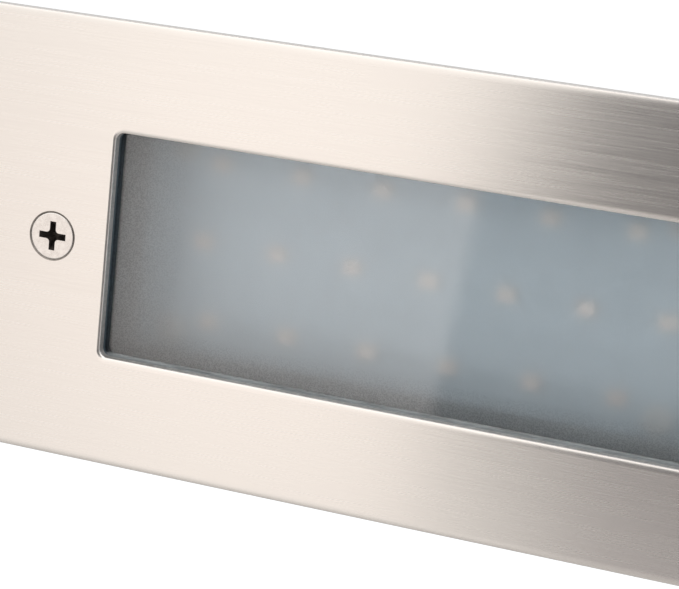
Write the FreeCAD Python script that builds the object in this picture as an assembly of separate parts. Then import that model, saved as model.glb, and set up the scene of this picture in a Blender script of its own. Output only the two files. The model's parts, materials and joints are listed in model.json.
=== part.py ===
import FreeCAD, Part
import math
import os

from FreeCAD import Vector

os.makedirs("parts", exist_ok=True)

# A recessed step light for a brick wall, in millimetres. X runs along the faceplate and
# Z is up. Y runs into the wall: the wall's surface is Y = 0, behind the faceplate's centre.

# Faceplate
PLATE_LENGTH = 240.0
PLATE_HEIGHT = 80.0
PLATE_THICKNESS = 2.5
PLATE_CORNER = 1.5
WINDOW_FROM_END = 29.0
WINDOW_FROM_TOP = 19.4
WINDOW_CORNER = 1.5
EDGE_BREAK = 0.4

# Face screws
SCREW_FROM_WINDOW = 10.6
SCREW_LENGTH = 20.0
SCREW_RADIUS = 2.0
SCREW_HOLE_RADIUS = 2.25
COUNTERSINK_RADIUS = 4.475
HEAD_RADIUS = 4.2
HEAD_SINK = 0.05
TIP_BEVEL = 0.6
HEAD_CONE_GAP = 0.1
HEAD_CONE_DEPTH = 1.4
HEAD_SEAL_THICKNESS = 0.6
HEAD_SEAL_PLAY = 0.05
RECESS_ACROSS = 4.9
RECESS_WING = 1.15
RECESS_DEPTH = 2.1
RECESS_BEVEL = 0.45
RECESS_TAPER = 0.45
RECESS_WING_TAPER = 0.8
RECESS_LEAD = 0.05

# Gaskets and glass
GASKET_THICKNESS = 2.0
GASKET_INSET = 1.2
GASKET_OPENING_MARGIN = 1.5
GLASS_LAP = 3.0
GLASS_THICKNESS = 4.0
GLASS_CORNER = 2.0
SEAL_SKIRT = 1.0
SEAL_LIP = 1.2

# LED board and the tray behind it
LED_DEPTH = 20.0
BOARD_THICKNESS = 1.6
BOARD_CLEARANCE = 0.4
BOARD_CORNER = 1.0
TRAY_THICKNESS = 2.0
MIDDLE_ROW_COUNT = 12
MIDDLE_ROW_FROM_END = 12.235
OUTER_ROW_COUNT = 11
OUTER_ROW_FROM_END = 14.6
OUTER_ROW_FROM_EDGE = 6.56
LED_LENGTH = 3.5
LED_WIDTH = 2.8
LED_HEIGHT = 0.8
LED_CUP_RADIUS = 1.15
LED_CUP_DEPTH = 0.5
BOARD_SCREW_FROM_END = 7.6
BOARD_SCREW_FROM_EDGE = 4.2
M3_RADIUS = 1.5
M3_HOLE_RADIUS = 1.6
M3_HEAD_RADIUS = 2.75
M3_HEAD_HEIGHT = 2.0
M3_BOSS_RADIUS = 2.8
M3_BOSS_DEPTH = 6.0
BLIND_BOSS_PROUD = 3.0
BLIND_BOSS_FLOOR = 1.5
M3_RECESS_SCALE = 0.62
M3_HEAD_ROUND = 0.8
THREAD_PLAY = 0.02

# Housing
RIM_WALL = 2.0
RIM_DEPTH = 2.0
HOUSING_WALL = 2.5
CHAMBER_MARGIN = 1.0
HOUSING_CORNER = 3.0
ROOM_FROM_LEFT = 4.0
ROOM_FROM_EDGE = 2.6
ROOM_DEPTH = 31.0
LUG_FROM_END = 17.0
LUG_HALF_WIDTH = 4.5
LUG_THICKNESS = 4.0
LUG_CENTRE_OUT = 3.4
LUG_END_RADIUS = 3.0
LUG_FOOT = 0.85
STUD_LENGTH = 10.0
WASHER_RADIUS = 3.0
WASHER_THICKNESS = 0.5
NUT_FLATS = 5.5
NUT_HEIGHT = 2.4

# Driver
DRIVER_FROM_LEFT = 10.0
DRIVER_HALF_HEIGHT = 13.5
DRIVER_CASE_DEPTH = 20.0
DRIVER_WALL = 1.5
DRIVER_LID_THICKNESS = 1.8
DRIVER_LID_LIP = 1.5
DRIVER_FIT = 0.1
EAR_LENGTH = 6.0
EAR_THICKNESS = 3.0
EAR_WIDTH = 13.5
PEG_HEIGHT = 2.0
PCB_THICKNESS = 1.6
PCB_MARGIN = 0.5
CASE_CORNER = 1.5
CASE_INNER_CORNER = 0.8
LID_LIP_WALL = 1.0
PEG_RADIUS = 1.5
PEG_INSET = 3.0
INPUT_TERMINAL_LENGTH = 7.0
INPUT_TERMINAL_INSET = 0.5
OUTPUT_TERMINAL_LENGTH = 8.0
TERMINAL_GAP = 2.5
TERMINAL_MARGIN = 2.0
TERMINAL_ROOF = 1.5
TRANSFORMER_FROM_FILM = 1.5
TRANSFORMER_LENGTH = 20.0
TRANSFORMER_WIDTH = 17.0
TRANSFORMER_LEG = 2.4
TRANSFORMER_DEPTH = 7.0
TRANSFORMER_HEADROOM = 2.0
WINDING_HEADROOM = 0.5
WINDING_PLAY = 0.3
CHOKE_FROM_CORE = 0.5
CHOKE_Z = 6.0
CHOKE_RADIUS = 4.5
CHOKE_WAIST_RADIUS = 3.9
CHOKE_FLANGE = 2.0
CHOKE_HEADROOM = 3.0
CHOKE_TO_TERMINAL = 1.5
BRIDGE_Z = -6.5
BRIDGE_LENGTH = 8.0
BRIDGE_WIDTH = 6.4
BRIDGE_HEIGHT = 3.0
BIG_CAN_RADIUS = 5.0
BIG_CAN_Z = 5.4
SMALL_CAN_RADIUS = 2.5
SMALL_CAN_FROM_LEFT = 2.0
CAN_HEADROOM = 1.0
CAN_ROUND = 0.5
FILM_FROM_CAN = 1.5
FILM_LENGTH = 5.0
FILM_WIDTH = 18.0
FILM_HEADROOM = 4.0
FUSE_Z = -7.5
FUSE_RADIUS = 3.0
FUSE_HEIGHT = 7.0

# Mains terminal block
BLOCK_FROM_DRIVER = 24.0
BLOCK_FROM_RIGHT = 14.0
BLOCK_LENGTH = 18.0
BLOCK_HEIGHT = 14.0
POLE_PITCH = 9.0
POLE_COUNT = 3
POLE_LEVEL = 8.0
CLAMP_OUTER = 2.6
CLAMP_INNER = 1.5
CLAMP_LENGTH = 15.0
POLE_SCREW_RADIUS = 1.4
POLE_SCREW_SPACING = 8.0
POLE_SCREW_SINK = 0.8
POLE_SLOT_DEPTH = 0.8
POLE_SLOT_WIDTH = 0.5
BLOCK_SCREW_SINK = 3.0
BLOCK_NOTCH_LENGTH = 2.0
BLOCK_NOTCH_DEPTH = 2.5

# Wires
MAINS_WIRE_RADIUS = 1.1
LED_WIRE_RADIUS = 0.8
LED_WIRE_LEVEL = 17.0
LED_WIRE_FROM_BLOCK = 4.0
LED_WIRE_HALF_SPACING = 3.0
LED_WIRE_PROUD = 0.9
EARTH_TAG_FROM_DRIVER = 30.0
EARTH_TAG_LENGTH = 8.0
EARTH_TAG_THICKNESS = 0.8
EARTH_EYE_RADIUS = 3.2
EARTH_NECK_WIDTH = 3.2
EARTH_BARREL_WALL = 0.7
EARTH_BARREL_LENGTH = 6.0
EARTH_BARREL_END = 1.0
EARTH_WIRE_IN_BARREL = 3.0
EARTH_BEND_RUN = 4.0
EARTH_SLOT_DEPTH = 0.8
EARTH_SLOT_WIDTH = 0.8
GROMMET_WALL = 1.2
GROMMET_FLANGE = 0.8
GROMMET_ROUNDING = 0.8
WIRE_IN_CLAMP = 6.0
WIRE_IN_TERMINAL = 4.5

# Cable gland
GLAND_LEVEL = 14.0
GLAND_THREAD_RADIUS = 7.9
GLAND_HOLE_RADIUS = 8.1
GLAND_BORE_RADIUS = 5.2
GLAND_FLATS = 22.0
GLAND_HEX_LENGTH = 5.3
GLAND_WASHER_THICKNESS = 1.2
GLAND_WASHER_RADIUS = 10.6
GLAND_TOP_LENGTH = 11.0
GLAND_TOP_RADIUS = 7.6
GLAND_SEAL_RADIUS = 6.3
GLAND_SEAL_BORE = 3.6
GLAND_SEAL_LENGTH = 8.0
GLAND_NUT_PLAY = 0.08
GLAND_NUT_LENGTH = 13.5
GLAND_NUT_HOLE = 4.6
GLAND_NUT_START = 1.0
SLIP_RING_THICKNESS = 0.8
SLIP_RING_PLAY = 0.3
LOCKNUT_LENGTH = 5.0
GLAND_INNER_PROUD = 0.5
GLAND_SEAL_PROUD = 0.5
GLAND_DOME_LENGTH = 5.0
GLAND_DOME_SHOULDER = 2.2
GLAND_MOUTH_BEVEL = 0.7

# Wall box, and the frame that it carries in front
BOX_END_ROOM = 10.5
BOX_EDGE_ROOM = 2.9
BOX_BACK_ROOM = 9.9
BOX_WALL = 2.5
FRAME_DEPTH = 14.0
FRAME_SHELF = 2.5
FRAME_EDGE_ROOM = 1.0
BOX_CORNER = 4.0
BOX_FLANGE = 4.0
BOX_FLANGE_HEIGHT = 1.8
BOX_FLANGE_THICKNESS = 2.0
BOSS_RADIUS = 4.2
BOSS_START = 6.0
BOSS_LENGTH = 13.0
BOSS_WEB = 5.0
BOSS_FLOOR = 1.5
INSERT_RADIUS = 2.8
INSERT_LENGTH = 7.0
INSERT_PLAY = 0.02
INSERT_BORE = 2.06
CONDUIT_RADIUS = 10.1
SPIGOT_WALL = 2.4
SPIGOT_LENGTH = 8.0
PLUG_FLANGE = 2.0
PLUG_THICKNESS = 1.5
PLUG_WALL = 1.5
PLUG_SKIRT_PROUD = 1.5
FIXING_HALF_SPACING = 60.0
FIXING_RADIUS = 2.5
KEY_RIB_COUNT = 5
KEY_RIB_FROM_END = 20.0
KEY_RIB_WIDTH = 3.0
KEY_RIB_HEIGHT = 1.3
KEY_RIB_START_GAP = 3.0
KEY_RIB_END_GAP = 6.0

# How far a cutting shape runs past the face that it leaves by
PAST = 1.0

# Places that follow from the sizes above
PLATE_BACK = -GASKET_THICKNESS
PLATE_FRONT = PLATE_BACK - PLATE_THICKNESS
WINDOW_HALF_X = PLATE_LENGTH / 2 - WINDOW_FROM_END
WINDOW_HALF_Z = PLATE_HEIGHT / 2 - WINDOW_FROM_TOP
SCREW_X = WINDOW_HALF_X + SCREW_FROM_WINDOW
GLASS_HALF_X = WINDOW_HALF_X + GLASS_LAP
GLASS_HALF_Z = WINDOW_HALF_Z + GLASS_LAP
GLASS_BACK = PLATE_BACK + GLASS_THICKNESS
SEAL_HALF_X = GLASS_HALF_X + SEAL_SKIRT
SEAL_HALF_Z = GLASS_HALF_Z + SEAL_SKIRT
SEAL_BACK = GLASS_BACK + SEAL_LIP
RIM_HALF_X = SEAL_HALF_X + RIM_WALL
RIM_HALF_Z = SEAL_HALF_Z + RIM_WALL
RIM_BACK = SEAL_BACK + RIM_DEPTH
CHAMBER_HALF_X = WINDOW_HALF_X + CHAMBER_MARGIN
CHAMBER_HALF_Z = WINDOW_HALF_Z + CHAMBER_MARGIN
BOARD_FRONT = PLATE_FRONT + LED_DEPTH
TRAY_FRONT = BOARD_FRONT + BOARD_THICKNESS
TRAY_BACK = TRAY_FRONT + TRAY_THICKNESS
BOARD_HALF_X = CHAMBER_HALF_X - BOARD_CLEARANCE
BOARD_HALF_Z = CHAMBER_HALF_Z - BOARD_CLEARANCE
MIDDLE_ROW_PITCH = 2 * (BOARD_HALF_X - MIDDLE_ROW_FROM_END) / (MIDDLE_ROW_COUNT - 1)
OUTER_ROW_PITCH = 2 * (BOARD_HALF_X - OUTER_ROW_FROM_END) / (OUTER_ROW_COUNT - 1)
ROW_SPACING = BOARD_HALF_Z - OUTER_ROW_FROM_EDGE
BOARD_SCREW_X = BOARD_HALF_X - BOARD_SCREW_FROM_END
BOARD_SCREW_MIDDLE_X = OUTER_ROW_PITCH / 2
BOARD_SCREW_Z = BOARD_HALF_Z - BOARD_SCREW_FROM_EDGE
ROOM_LEFT = CHAMBER_HALF_X - ROOM_FROM_LEFT
ROOM_HALF_HEIGHT = CHAMBER_HALF_Z - ROOM_FROM_EDGE
ROOM_BACK = TRAY_BACK + ROOM_DEPTH
HOUSING_BACK = ROOM_BACK + HOUSING_WALL
LUG_X = RIM_HALF_X - LUG_FROM_END
LUG_Z = RIM_HALF_Z + LUG_CENTRE_OUT
LUG_BACK = PLATE_BACK + LUG_THICKNESS
DRIVER_X0 = DRIVER_FROM_LEFT - ROOM_LEFT
PCB_X0 = DRIVER_X0 + DRIVER_WALL + PCB_MARGIN
SMALL_CAN_X = PCB_X0 + SMALL_CAN_FROM_LEFT + SMALL_CAN_RADIUS
BIG_CAN_X = SMALL_CAN_X + SMALL_CAN_RADIUS + BIG_CAN_RADIUS
FILM_X = BIG_CAN_X + BIG_CAN_RADIUS + FILM_FROM_CAN + FILM_LENGTH / 2
TRANSFORMER_X = FILM_X + FILM_LENGTH / 2 + TRANSFORMER_FROM_FILM + TRANSFORMER_LENGTH / 2
CHOKE_X = TRANSFORMER_X + TRANSFORMER_LENGTH / 2 + CHOKE_FROM_CORE + CHOKE_RADIUS
OUTPUT_TERMINAL_X = CHOKE_X + CHOKE_RADIUS + CHOKE_TO_TERMINAL + OUTPUT_TERMINAL_LENGTH / 2
INPUT_TERMINAL_X0 = OUTPUT_TERMINAL_X + OUTPUT_TERMINAL_LENGTH / 2 + TERMINAL_GAP
INPUT_TERMINAL_X = INPUT_TERMINAL_X0 + INPUT_TERMINAL_LENGTH / 2
PCB_X1 = INPUT_TERMINAL_X0 + INPUT_TERMINAL_LENGTH + INPUT_TERMINAL_INSET
DRIVER_X1 = PCB_X1 + PCB_MARGIN + DRIVER_WALL
DRIVER_RIM = ROOM_BACK - DRIVER_CASE_DEPTH
DRIVER_FLOOR = ROOM_BACK - DRIVER_WALL
PCB_BACK = DRIVER_FLOOR - PEG_HEIGHT
PCB_FRONT = PCB_BACK - PCB_THICKNESS
PCB_HALF_Z = DRIVER_HALF_HEIGHT - DRIVER_WALL - PCB_MARGIN
PCB_ROOM = PCB_FRONT - DRIVER_RIM - DRIVER_LID_LIP
DRIVER_MIDDLE = (DRIVER_X0 + DRIVER_X1) / 2
DRIVER_HALF_LENGTH = (DRIVER_X1 - DRIVER_X0) / 2
TRANSFORMER_TOP = PCB_FRONT - PCB_ROOM + TRANSFORMER_HEADROOM
BLOCK_X0 = DRIVER_X1 + BLOCK_FROM_DRIVER
BLOCK_X1 = BLOCK_X0 + BLOCK_LENGTH
ROOM_RIGHT = BLOCK_X1 + BLOCK_FROM_RIGHT
BLOCK_FRONT = ROOM_BACK - BLOCK_HEIGHT
BLOCK_MIDDLE_X = (BLOCK_X0 + BLOCK_X1) / 2
BLOCK_SCREW_SEAT = BLOCK_FRONT + BLOCK_SCREW_SINK
BLOCK_HALF_Z = POLE_COUNT * POLE_PITCH / 2
POLE_Y = ROOM_BACK - POLE_LEVEL
LED_WIRE_X = BLOCK_X1 + LED_WIRE_FROM_BLOCK
LED_WIRE_Y = ROOM_BACK - LED_WIRE_LEVEL
LED_WIRE_ZS = (-LED_WIRE_HALF_SPACING, LED_WIRE_HALF_SPACING)
EARTH_Z = -POLE_PITCH
EARTH_TAG_X = DRIVER_X1 - EARTH_TAG_FROM_DRIVER
EARTH_LEAD_Y = TRAY_BACK + EARTH_TAG_THICKNESS + MAINS_WIRE_RADIUS
EARTH_BARREL_X = EARTH_TAG_X + EARTH_TAG_LENGTH
GLAND_Y = ROOM_BACK - GLAND_LEVEL
HOUSING_END = ROOM_RIGHT + HOUSING_WALL
GLAND_HEX_X = HOUSING_END + GLAND_WASHER_THICKNESS
GLAND_TOP_X = GLAND_HEX_X + GLAND_HEX_LENGTH
GLAND_END_X = GLAND_TOP_X + GLAND_TOP_LENGTH
GLAND_INNER_X = ROOM_RIGHT - LOCKNUT_LENGTH - GLAND_INNER_PROUD
BOX_HALF_X = RIM_HALF_X + BOX_END_ROOM + BOX_WALL
BOX_HALF_Z = CHAMBER_HALF_Z + HOUSING_WALL + BOX_EDGE_ROOM + BOX_WALL
BOX_BACK = HOUSING_BACK + BOX_BACK_ROOM + BOX_WALL
BOX_INNER_X = BOX_HALF_X - BOX_WALL
BOX_INNER_Z = BOX_HALF_Z - BOX_WALL
FRAME_INNER_Z = LUG_Z + LUG_END_RADIUS + FRAME_EDGE_ROOM
FRAME_HALF_Z = FRAME_INNER_Z + BOX_WALL


def block(x0, x1, y0, y1, z0, z1):
    """A plain block between two corners."""
    return Part.makeBox(x1 - x0, y1 - y0, z1 - z0, Vector(x0, y0, z0))


def slab(half_x, half_z, corner, y0, y1, centre_x=0.0, centre_z=0.0):
    """A rounded rectangle drawn on the wall's plane and carried from y0 to y1."""
    solid = block(centre_x - half_x, centre_x + half_x, y0, y1, centre_z - half_z, centre_z + half_z)
    upright = [e for e in solid.Edges if abs(e.Vertexes[0].Y - e.Vertexes[1].Y) > 1e-6]
    return solid.makeFillet(corner, upright) if corner > 0 else solid


def rod_y(radius, y0, y1, x=0.0, z=0.0):
    """A round rod that runs into the wall."""
    return Part.makeCylinder(radius, y1 - y0, Vector(x, y0, z), Vector(0, 1, 0))


def rod_x(radius, x0, x1, y, z=0.0):
    """A round rod that runs along the plate."""
    return Part.makeCylinder(radius, x1 - x0, Vector(x0, y, z), Vector(1, 0, 0))


def turned_y(profile, x, z=0.0):
    """A turned piece on an axis into the wall, from (radius, y) points."""
    corners = [Vector(x + radius, y, z) for radius, y in profile]
    face = Part.Face(Part.makePolygon(corners + corners[:1]))
    return face.revolve(Vector(x, 0, z), Vector(0, 1, 0), 360)


def turned_x(profile, y, z=0.0):
    """A turned piece on an axis along the plate, from (radius, x) points."""
    corners = [Vector(x, y, z + radius) for radius, x in profile]
    face = Part.Face(Part.makePolygon(corners + corners[:1]))
    return face.revolve(Vector(0, y, z), Vector(1, 0, 0), 360)


def hexagon(flats, centre, along, length):
    """A hexagonal prism from its centre point, along the Y or the X axis."""
    corner = flats / math.sqrt(3)
    points = []
    for step in range(7):
        a = math.radians(60 * step + 30)
        across, up = corner * math.cos(a), corner * math.sin(a)
        offset = Vector(across, 0, up) if along.y else Vector(0, across, up)
        points.append(centre + offset)
    return Part.Face(Part.makePolygon(points)).extrude(along * length)


def join(solids):
    """One solid from touching or overlapping ones."""
    return solids[0].multiFuse(solids[1:]).removeSplitter()


def carve(solid, tools):
    """What is left of a solid when the tools are taken out of it."""
    return solid.cut(Part.makeCompound(tools))


def group(solids):
    """Like pieces that share one node, each its own solid."""
    return Part.makeCompound(solids)


def routed_tube(points, radius):
    """A round wire along straight runs joined by tangent arcs."""
    edges = []
    start = points[0]
    for before, corner, after in zip(points, points[1:], points[2:]):
        incoming = (corner - before).normalize()
        outgoing = (after - corner).normalize()
        half_turn = incoming.getAngle(outgoing) / 2
        reach = 0.45 * min((corner - before).Length, (after - corner).Length)
        print("wire bend radius %.1f mm, wire %.1f mm" % (reach / math.tan(half_turn), 2 * radius))
        enter = corner - incoming * reach
        leave = corner + outgoing * reach
        bulge = (enter + leave) * 0.5
        inward = (bulge - corner).normalize()
        bend = reach / math.tan(half_turn)
        middle = corner + inward * (bend / math.cos(half_turn) - bend)
        edges.append(Part.LineSegment(start, enter).toShape())
        edges.append(Part.Arc(enter, middle, leave).toShape())
        start = leave
    edges.append(Part.LineSegment(start, points[-1]).toShape())
    spine = Part.Wire(edges)
    ring = Part.Wire(Part.makeCircle(radius, points[0], points[1] - points[0]))
    tube = spine.makePipeShell([ring], True, True)
    section = math.pi * radius ** 2
    print("wire volume %.1f, section times length %.1f" % (tube.Volume, section * spine.Length))
    return tube


def m3_screw(x, z, head_back, tip):
    """A pan-head M3 screw that points into the wall, its head seated at head_back."""
    head = rod_y(M3_HEAD_RADIUS, head_back - M3_HEAD_HEIGHT, head_back, x, z)
    rim = [e for e in head.Edges if e.Closed and abs(e.CenterOfMass.y - head.BoundBox.YMin) < 1e-6]
    head = head.makeFillet(M3_HEAD_ROUND, rim)
    shank = rod_y(M3_RADIUS, head_back, tip, x, z)
    return carve(join([head, shank]), [cross_recess(x, z, head_back - M3_HEAD_HEIGHT, M3_RECESS_SCALE)])


def cross_recess(x, z, mouth, scale):
    """The tapered cross-shaped recess of a screw head that opens towards the viewer."""
    def cross(half_span, half_wing, depth):
        s, w = half_span * scale, half_wing * scale
        bevel = w * RECESS_BEVEL
        corner = [(s, -w), (s, w), (w + bevel, w), (w, w + bevel)]
        points = []
        for quarter in range(4):
            a = math.radians(90 * quarter)
            for px, pz in corner:
                along = px * math.cos(a) - pz * math.sin(a)
                up = px * math.sin(a) + pz * math.cos(a)
                points.append(Vector(x + along, mouth + depth, z + up))
        return Part.makePolygon(points + points[:1])
    half = RECESS_ACROSS / 2
    wing = RECESS_WING / 2
    mouth_cross = cross(half, wing, -RECESS_LEAD)
    foot_cross = cross(half * RECESS_TAPER, wing * RECESS_WING_TAPER, RECESS_DEPTH * scale)
    return Part.makeLoft([mouth_cross, foot_cross], True, True)


def faceplate():
    plate = slab(PLATE_LENGTH / 2, PLATE_HEIGHT / 2, PLATE_CORNER, PLATE_FRONT, PLATE_BACK)
    window = slab(WINDOW_HALF_X, WINDOW_HALF_Z, WINDOW_CORNER, PLATE_FRONT - PAST, PLATE_BACK + PAST)
    plate = plate.cut(window)
    front = [e for e in plate.Edges if max(v.Y for v in e.Vertexes) < PLATE_FRONT + 1e-6]
    plate = plate.makeFillet(EDGE_BREAK, front)
    return carve(plate, [countersink(side * SCREW_X) for side in (-1, 1)])


def countersink(x):
    """The screw's hole through the faceplate with its 90 degree countersink."""
    cone_end = PLATE_FRONT + COUNTERSINK_RADIUS - SCREW_HOLE_RADIUS
    profile = [
        (0, PLATE_FRONT - PAST),
        (COUNTERSINK_RADIUS, PLATE_FRONT - PAST),
        (COUNTERSINK_RADIUS, PLATE_FRONT),
        (SCREW_HOLE_RADIUS, cone_end),
        (SCREW_HOLE_RADIUS, PLATE_BACK + PAST),
        (0, PLATE_BACK + PAST),
    ]
    return turned_y(profile, x)


def face_screw(x):
    top = PLATE_FRONT + HEAD_SINK
    tip = PLATE_FRONT + SCREW_LENGTH
    cone_start = PLATE_FRONT + COUNTERSINK_RADIUS - HEAD_CONE_GAP - HEAD_RADIUS
    groove = PLATE_FRONT + HEAD_CONE_DEPTH
    groove_radius = COUNTERSINK_RADIUS - HEAD_CONE_GAP - HEAD_CONE_DEPTH
    profile = [
        (0, top),
        (HEAD_RADIUS, top),
        (HEAD_RADIUS, cone_start),
        (groove_radius, groove),
        (SCREW_RADIUS, groove),
        (SCREW_RADIUS, tip - TIP_BEVEL),
        (SCREW_RADIUS - TIP_BEVEL, tip),
        (0, tip),
    ]
    return carve(turned_y(profile, x), [cross_recess(x, 0, top, 1.0)])


def head_seal(x):
    """The rubber ring in the groove under a face screw's head."""
    start = HEAD_CONE_DEPTH + HEAD_SEAL_PLAY
    end = start + HEAD_SEAL_THICKNESS
    bore = SCREW_RADIUS + HEAD_SEAL_PLAY
    seat = COUNTERSINK_RADIUS - HEAD_CONE_GAP
    profile = [
        (bore, PLATE_FRONT + start),
        (seat - start, PLATE_FRONT + start),
        (seat - end, PLATE_FRONT + end),
        (bore, PLATE_FRONT + end),
    ]
    return turned_y(profile, x)


def face_gasket():
    half_x = PLATE_LENGTH / 2 - GASKET_INSET
    half_z = PLATE_HEIGHT / 2 - GASKET_INSET
    ring = slab(half_x, half_z, PLATE_CORNER, PLATE_BACK, 0)
    inner_x = BOX_INNER_X - GASKET_OPENING_MARGIN
    return ring.cut(slab(inner_x, FRAME_INNER_Z, BOX_CORNER, PLATE_BACK - PAST, PAST))


def glass_pane():
    return slab(GLASS_HALF_X, GLASS_HALF_Z, GLASS_CORNER, PLATE_BACK, GLASS_BACK)


def glass_seal():
    ring = slab(SEAL_HALF_X, SEAL_HALF_Z, GLASS_CORNER + SEAL_SKIRT, PLATE_BACK, SEAL_BACK)
    pocket = slab(GLASS_HALF_X, GLASS_HALF_Z, GLASS_CORNER, PLATE_BACK - PAST, GLASS_BACK)
    light = slab(WINDOW_HALF_X, WINDOW_HALF_Z, WINDOW_CORNER, GLASS_BACK - PAST, SEAL_BACK + PAST)
    return carve(ring, [pocket, light])


def lug(x, side):
    """An ear on the housing's rim that a weld stud passes through."""
    z_root = side * (RIM_HALF_Z - RIM_WALL / 2)
    z_end = side * LUG_Z
    low, high = min(z_root, z_end), max(z_root, z_end)
    arm = block(x - LUG_END_RADIUS, x + LUG_END_RADIUS, PLATE_BACK, LUG_BACK, low, high)
    foot_z = side * (RIM_HALF_Z + LUG_FOOT)
    foot_low, foot_high = min(z_root, foot_z), max(z_root, foot_z)
    foot = block(x - LUG_HALF_WIDTH, x + LUG_HALF_WIDTH, PLATE_BACK, LUG_BACK, foot_low, foot_high)
    return join([arm, foot, rod_y(LUG_END_RADIUS, PLATE_BACK, LUG_BACK, x, z_end)])


def stud_places():
    return [(x, side) for x in (-LUG_X, 0.0, LUG_X) for side in (-1, 1)]


def board_screw_places():
    columns = (-BOARD_SCREW_X, BOARD_SCREW_MIDDLE_X, BOARD_SCREW_X)
    return [(x, side * BOARD_SCREW_Z) for x in columns for side in (-1, 1)]


def ear_screw_places():
    return (DRIVER_X0 - EAR_LENGTH / 2, DRIVER_X1 + EAR_LENGTH / 2)


def block_screw_places():
    return [(BLOCK_MIDDLE_X, side * POLE_PITCH / 2) for side in (-1, 1)]


def housing():
    room_x0, room_x1 = -ROOM_LEFT, ROOM_RIGHT
    room_mid = (room_x0 + room_x1) / 2
    room_half = (room_x1 - room_x0) / 2
    step = TRAY_BACK + HOUSING_WALL
    outer = [
        slab(RIM_HALF_X, RIM_HALF_Z, HOUSING_CORNER, PLATE_BACK, RIM_BACK),
        slab(CHAMBER_HALF_X + HOUSING_WALL, CHAMBER_HALF_Z + HOUSING_WALL, HOUSING_CORNER, SEAL_BACK, step),
        slab(room_half + HOUSING_WALL, ROOM_HALF_HEIGHT + HOUSING_WALL, HOUSING_CORNER,
             TRAY_BACK, HOUSING_BACK, room_mid),
    ]
    outer += [lug(x, side) for x, side in stud_places()]
    far_bosses = [(x, z) for x, z in board_screw_places() if x > ROOM_RIGHT]
    far_boss_end = step + BLIND_BOSS_PROUD
    outer += [rod_y(M3_BOSS_RADIUS, TRAY_BACK, far_boss_end, x, z) for x, z in far_bosses]
    back_bosses = [(x, 0.0) for x in ear_screw_places()] + block_screw_places()
    back_boss_end = HOUSING_BACK + BLIND_BOSS_PROUD
    outer += [rod_y(M3_BOSS_RADIUS, ROOM_BACK, back_boss_end, x, z) for x, z in back_bosses]
    shell = join(outer)
    inner_corner = HOUSING_CORNER - HOUSING_WALL / 2
    shell = carve(shell, [
        slab(SEAL_HALF_X, SEAL_HALF_Z, GLASS_CORNER + SEAL_SKIRT, PLATE_BACK - PAST, SEAL_BACK),
        slab(CHAMBER_HALF_X, CHAMBER_HALF_Z, inner_corner, PLATE_BACK - PAST, TRAY_BACK),
        slab(room_half, ROOM_HALF_HEIGHT, inner_corner, TRAY_BACK - PAST, ROOM_BACK, room_mid),
        rod_x(GLAND_HOLE_RADIUS, ROOM_RIGHT - PAST, HOUSING_END + PAST, GLAND_Y),
    ])
    near_bosses = [(x, z) for x, z in board_screw_places() if x < ROOM_RIGHT]
    posts = []
    for x, z in near_bosses:
        posts.append(rod_y(M3_BOSS_RADIUS, TRAY_BACK, ROOM_BACK, x, z))
        wall_z = math.copysign(ROOM_HALF_HEIGHT + HOUSING_WALL / 2, z)
        low, high = min(z, wall_z), max(z, wall_z)
        posts.append(block(x - M3_RADIUS, x + M3_RADIUS, TRAY_BACK, ROOM_BACK, low, high))
    shell = join([shell] + posts)
    thread = M3_RADIUS + THREAD_PLAY
    holes = [rod_y(thread, TRAY_BACK - PAST, TRAY_BACK + M3_BOSS_DEPTH, x, z) for x, z in near_bosses]
    far_end = far_boss_end - BLIND_BOSS_FLOOR
    holes += [rod_y(thread, TRAY_BACK - PAST, far_end, x, z) for x, z in far_bosses]
    back_end = back_boss_end - BLIND_BOSS_FLOOR
    holes += [rod_y(thread, ROOM_BACK - PAST, back_end, x, z) for x, z in back_bosses]
    lug_ends = (PLATE_BACK - PAST, LUG_BACK + PAST)
    holes += [rod_y(M3_HOLE_RADIUS, *lug_ends, x, side * LUG_Z) for x, side in stud_places()]
    return carve(shell, holes)


def plate_studs():
    end = PLATE_BACK + STUD_LENGTH
    return group([rod_y(M3_RADIUS, PLATE_BACK, end, x, side * LUG_Z) for x, side in stud_places()])


def stud_washers():
    end = LUG_BACK + WASHER_THICKNESS
    rings = []
    for x, side in stud_places():
        hole = rod_y(M3_HOLE_RADIUS, LUG_BACK - PAST, end + PAST, x, side * LUG_Z)
        rings.append(rod_y(WASHER_RADIUS, LUG_BACK, end, x, side * LUG_Z).cut(hole))
    return group(rings)


def stud_nuts():
    start = LUG_BACK + WASHER_THICKNESS
    nuts = []
    for x, side in stud_places():
        z = side * LUG_Z
        nut = hexagon(NUT_FLATS, Vector(x, start, z), Vector(0, 1, 0), NUT_HEIGHT)
        hole = rod_y(M3_RADIUS + THREAD_PLAY, start - PAST, start + NUT_HEIGHT + PAST, x, z)
        nuts.append(nut.cut(hole))
    return group(nuts)


def board_holes(y0, y1):
    """The screw holes through the LED board or the tray."""
    return [rod_y(M3_HOLE_RADIUS, y0 - PAST, y1 + PAST, x, z) for x, z in board_screw_places()]


def grommet_slot(margin, y0, y1):
    """The slot that the two LED leads pass through."""
    half_z = LED_WIRE_HALF_SPACING + LED_WIRE_RADIUS + margin
    half_x = LED_WIRE_RADIUS + margin
    return slab(half_x, half_z, half_x * GROMMET_ROUNDING, y0, y1, LED_WIRE_X)


def led_board():
    board = slab(BOARD_HALF_X, BOARD_HALF_Z, BOARD_CORNER, BOARD_FRONT, TRAY_FRONT)
    lead_hole = LED_WIRE_RADIUS + THREAD_PLAY
    ends = (BOARD_FRONT - PAST, TRAY_FRONT + PAST)
    leads = [rod_y(lead_hole, *ends, LED_WIRE_X, z) for z in LED_WIRE_ZS]
    return carve(board, board_holes(BOARD_FRONT, TRAY_FRONT) + leads)


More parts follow.
